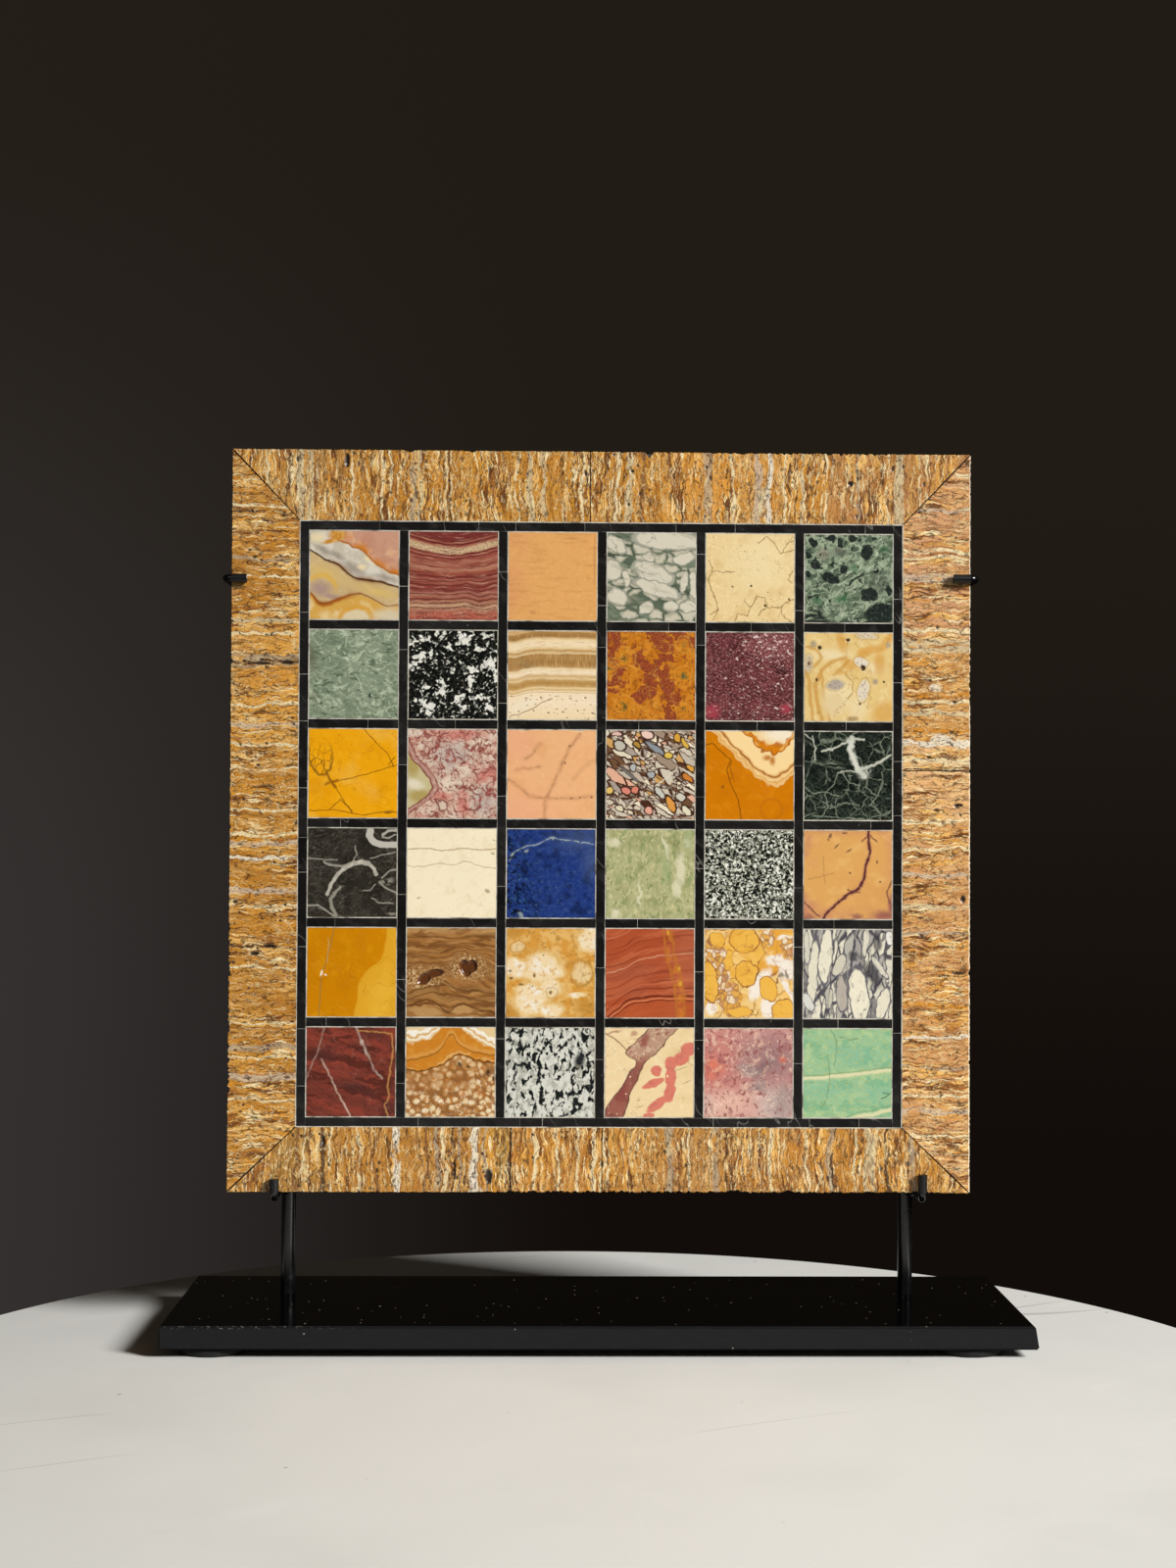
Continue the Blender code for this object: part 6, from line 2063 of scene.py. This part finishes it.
s, rough = steel("black_steel", 0.17, 0.6)
# The left clip's end is bare steel. Only its upper part is painted light, as a painted highlight.
bare_end_and_highlight = s.at.axis(0).rise(-14.335, -14.33) * s.at.axis(0).fall(-14.2, -14.0)
top = (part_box("armature_left")[1][2] - ROD_RADIUS) / CM
s.lay("9d988d", bare_end_and_highlight * s.at.axis(2).rise(top - 0.04, top + 0.02))
black_steel = s.finish(rough, unit=4)
s, rough = steel("black_rubber", 0.42, 0.3)
black_rubber = s.finish(rough, unit=4)
tree = sweep_tree("bent_rod", [("Bend", "Float"), ("Radius", "Float"), ("Sides", "Int")],
                  bent_rod)
for word, side in (("left", -1), ("right", 1)):
    low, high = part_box(f"armature_{word}")
    inner = high[0] if side < 0 else low[0]
    outer = low[0] if side < 0 else high[0]
    post_x, post_y = inner + side * POST_RADIUS, high[1] - POST_RADIUS
    clip_x, clip_z = outer - side * ROD_RADIUS, high[2] - ROD_RADIUS
    face_y, hook_z = low[1] + ROD_RADIUS, TABLET_BOTTOM - JOINT - ROD_RADIUS
    hook_x = post_x + side * HOOK_OFFSET
    hook_tip, clip_tip = TIPS[word]
    paths = {
        "post": [(post_x, post_y, low[2]), (post_x, post_y, high[2])],
        "hook": [(post_x, post_y, hook_z), (hook_x, post_y - 1.4 * HOOK_OFFSET, hook_z),
                 (hook_x, face_y, hook_z), (hook_x, face_y, TABLET_BOTTOM + hook_tip)],
        "clip": [(post_x, post_y, clip_z), (clip_x, post_y, clip_z), (clip_x, face_y, clip_z),
                 (side * (TABLET_RIGHT - clip_tip), face_y, clip_z)],
    }
    for part, step in (("hook", (0, 0, ROD_BEND)), ("clip", (-side * ROD_BEND, 0, 0))):
        corner, tip = (Vector(point) for point in paths[part][-2:])
        paths[f"{part}_coat"] = [corner + Vector(step), tip - (tip - corner).normalized() * BARE]
    radius = {"post": POST_RADIUS, "hook_coat": ROD_RADIUS + COAT, "clip_coat": ROD_RADIUS + COAT}
    rods = [grown(f"{part}_{word}", path, [(i, i + 1) for i in range(len(path) - 1)], tree,
                  Bend=ROD_BEND, Radius=radius.get(part, ROD_RADIUS),
                  Sides=40 if part == "post" else 32,
                  Material=black_rubber if "coat" in part else black_steel)
            for part, path in paths.items()]
    beads = [bead(f"bead_{word}_{i}", place, size, black_steel) for i, (place, size) in enumerate((
        ((post_x + side * 1.6 * MM, post_y - 2.2 * MM, hook_z), (3.1 * MM, 2.5 * MM, 2.6 * MM)),
        ((post_x + side * 2.4 * MM, post_y, clip_z - 0.4 * MM), (2.2 * MM, 2.7 * MM, 2.5 * MM))))]
    armature = brazed(*rods, *beads)
    armature.name = f"brazed_armature_{word}"
    settle(armature, "black_steel", f"armature_{word}")
    print(f"{armature.name}: {len(armature.data.polygons)} faces")

# %% [markdown]
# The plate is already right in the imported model, so it only gets a finish: its top is smoother
# than its sawn edges, so it mirrors the dark wall, and it gathers dust. A mask from the surface's
# own normal tells the top from the edges. The felt pads under it are turned discs whose cut edge
# bulges a little.

# %% Finish the plate and make the pads
s, _ = steel("base_steel", 0.2, 0.9)
top = Place(s, s.node("ShaderNodeTexCoord").outputs["Normal"]).axis(2).rise(0.7, 0.95)
s.lay("020202", top)
s.lay("1d1d1f", -top + 1.0)
grain = s.at.clouds(0.12, 9, 4, stretch=(6, 1)).rise(0.45, 0.7)
s.lay("222223", (-top + 1.0) * grain * 0.5)
low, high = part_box("base_plate")
arris = s.at.axis(1).fall(low[1] / CM + 0.06, low[1] / CM + 0.1) * s.at.axis(2).rise(
    high[2] / CM - 0.12, high[2] / CM - 0.06)
nicks = s.at.clouds(0.12, 7, 2).rise(0.6, 0.64) * s.at.axis(0).fall(-14, -8)
s.lay("63615c", arris * nicks)
for size, far, share, much in ((0.3, 0.14, 0.88, 0.8), (1.3, 0.05, 0.6, 0.7)):
    s.lay("aba392", s.at.spots(size, 3).fall(far / 3, far)
          * s.at.kinds(size, 3).rise(share, share + 0.02) * much)
base_steel = s.finish(0.3, unit=4)
s.shader.inputs["Specular IOR Level"].default_value = 0.1
uneven = s.at.clouds(1.4, 12, 3) * 0.12
feed(s.tree, s.shader.inputs["Roughness"], uneven - top * 0.24 + 0.32)
plate = nodes["base_plate"]
plate.data.materials.clear()
plate.data.materials.append(base_steel)

s = Stone("felt", (0, 0, 0), MM)
s.ground("0c0b0d")
s.lay("171619", s.at.clouds(0.4, 2, 4, stretch=(2, 0.6)).rise(0.45, 0.65))
s.lay("262528", s.at.threads(0.7, 0.02, 5, 3) * 0.6)
felt = s.finish(0.9, unit=36)
PAD_POINTS = 56
for node in PADS:
    low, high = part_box(node)
    middle, radius = (low + high) / 2, (high[0] - low[0]) / 2
    height = high[2] - low[2]
    rng = random.Random(node)
    bm = bmesh.new()
    rings = []
    turns = [2 * math.pi * i / PAD_POINTS for i in range(PAD_POINTS)]
    for inset, level in ((0.5, 0.0), (0.06, 0.0), (0.0, 0.25), (0.012, 0.75), (0.05, 1.0), (0.5, 1)):
        rings.append([bm.verts.new((
            middle[0] + radius * (1 - inset - 0.015 * rng.random()) * math.cos(turn),
            middle[1] + radius * (1 - inset - 0.015 * rng.random()) * math.sin(turn),
            low[2] + height * level)) for turn in turns])
    for below, above in zip(rings, rings[1:]):
        for i in range(PAD_POINTS):
            after = (i + 1) % PAD_POINTS
            bm.faces.new((below[i], below[after], above[after], above[i]))
    bm.faces.new(rings[0][::-1])
    bm.faces.new(rings[-1])
    mesh = baked(f"felt_{node}", bm)
    mesh.shade_smooth()
    mesh.materials.append(felt)
    settle(put(f"felt_{node}", mesh), "felt", node)
print("the stand is finished")

# %% [markdown]
# The tablet stands on a round pale table, against a dark wall. The table is only a stage: a
# turned disc with a softened edge and a faintly mottled, scuffed paint.

# %% The pale round table
TABLE_RADIUS, TABLE_THICKNESS, TABLE_EDGE = 276 * MM, 24 * MM, 2 * MM
TABLE_CENTRE = Vector((-11 * MM, -108 * MM, 0))
bm = bmesh.new()
bmesh.ops.create_cone(bm, cap_ends=True, segments=180, radius1=TABLE_RADIUS,
                      radius2=TABLE_RADIUS, depth=TABLE_THICKNESS)
bmesh.ops.translate(bm, verts=bm.verts, vec=TABLE_CENTRE - Vector((0, 0, TABLE_THICKNESS / 2)))
rims = [edge for edge in bm.edges if abs(edge.verts[0].co.z - edge.verts[1].co.z) < 1e-6]
bmesh.ops.bevel(bm, geom=rims, offset=TABLE_EDGE, segments=4, affect="EDGES")
table_mesh = baked("pale_table", bm)
table_mesh.shade_smooth()
table_mesh.set_sharp_from_angle(angle=SHARP)
table = put("pale_table", table_mesh)
paint = Stone("pale_table_paint", (0, 0, 0), 100 * MM)
paint.at = Place(paint, paint.node("ShaderNodeTexCoord").outputs["Object"]).turned(100 * MM)
paint.ground("f8f8f4")
paint.lay("e4e4df", paint.at.clouds(1.2, 2, 5).rise(0.45, 0.7) * 0.3)
scuffs = paint.at.threads(1.1, 0.004, 3, 1, stretch=(4, 0.5), turn=25) * paint.at.clouds(
    0.8, 4).rise(0.55, 0.65)
paint.lay("a5a297", scuffs * 0.5)
paint.lay("7f7a70", paint.at.spots(0.14, 6).fall(0.03, 0.08) * paint.at.kinds(0.14, 6).rise(
    0.86, 0.88) * 0.6)
table_mesh.materials.append(paint.finish(0.45))
print("the table's top is the ground at z = 0")

# %% [markdown]
# Polished stone is judged under one large soft light. The key light hangs in front, above and
# to the right, so shadows fall to the left and backwards. A weak light fills in from the left.
# A third looks at the back, and no polish mirrors it, because it would grey the black plate. Both
# leave out the table, so that the key's shadow stays deep and single. The wall is only a dim
# world colour, which is lightest low on the left. The view transform is Standard, for straight
# colours.

# %% Lights, wall and camera


def softbox(name, place, aim, size, power, colour=(1, 1, 1)):
    """A square area light that looks at a point."""
    light = bpy.data.lights.new(name, "AREA")
    light.size, light.energy, light.color = size, power, colour
    lamp = put(name, light)
    lamp.location = place
    lamp.rotation_euler = (Vector(aim) - Vector(place)).to_track_quat("-Z", "Y").to_euler()
    return lamp


centre = Vector((0, 0, (cad_box[0][2] + cad_box[1][2]) / 2))
softbox("key", (2.28, -1.66, 1.6), centre, 0.8, 154, (1, 0.98, 0.95))
fill = softbox("fill", (-0.9, -1.5, 0.9), centre, 0.9, 2.5, (0.94, 0.97, 1))
back = softbox("back", (-0.7, 1.5, 1.1), centre, 0.8, 22)
back.visible_glossy = False
left_out = bpy.data.collections.new("lit_by_the_key_alone")
left_out.objects.link(table)
left_out.collection_objects[0].light_linking.link_state = "EXCLUDE"
fill.light_linking.receiver_collection = left_out
back.light_linking.receiver_collection = left_out

world = bpy.data.worlds.new("dark_wall")
world.use_nodes = True
wall = world.node_tree
towards = add_node(wall, "ShaderNodeSeparateXYZ",
                   wall.nodes.new("ShaderNodeTexCoord").outputs["Generated"]).outputs


def fade(axis, start, end):
    """Rises softly from 0 to 1 as the wall is followed along an axis."""
    return add_node(wall, "ShaderNodeMapRange", towards[axis], start, end,
                    interpolation_type="SMOOTHSTEP").outputs[0]


def blend(share, first, second):
    """Mixes two colours, or two mixes."""
    return add_node(wall, "ShaderNodeMix", {0: share, 6: first, 7: second},
                    data_type="RGBA").outputs[2]


left_wall = blend(fade("Z", -0.08, 0.33), linear("393534"), linear("241f19"))
right_wall = blend(fade("Z", -0.17, 0.17), linear("120d0a"), linear("211c16"))
wall_tone = blend(fade("X", -0.34, 0.04), left_wall, right_wall)
wall.links.new(wall_tone, wall.nodes["Background"].inputs["Color"])
bpy.context.scene.world = world
bpy.context.scene.view_settings.view_transform = "Standard"

camera = put("camera", bpy.data.cameras.new("camera"))
camera.location = (-0.0229, -0.8895, 0.2049)
camera.rotation_euler = [math.radians(angle) for angle in (91.144, -0.292, -1.152)]
camera.data.sensor_width, camera.data.lens = 36, 49.93
bpy.context.scene.camera = camera
print(f"the camera looks from {camera.location.length:.2f} m away")
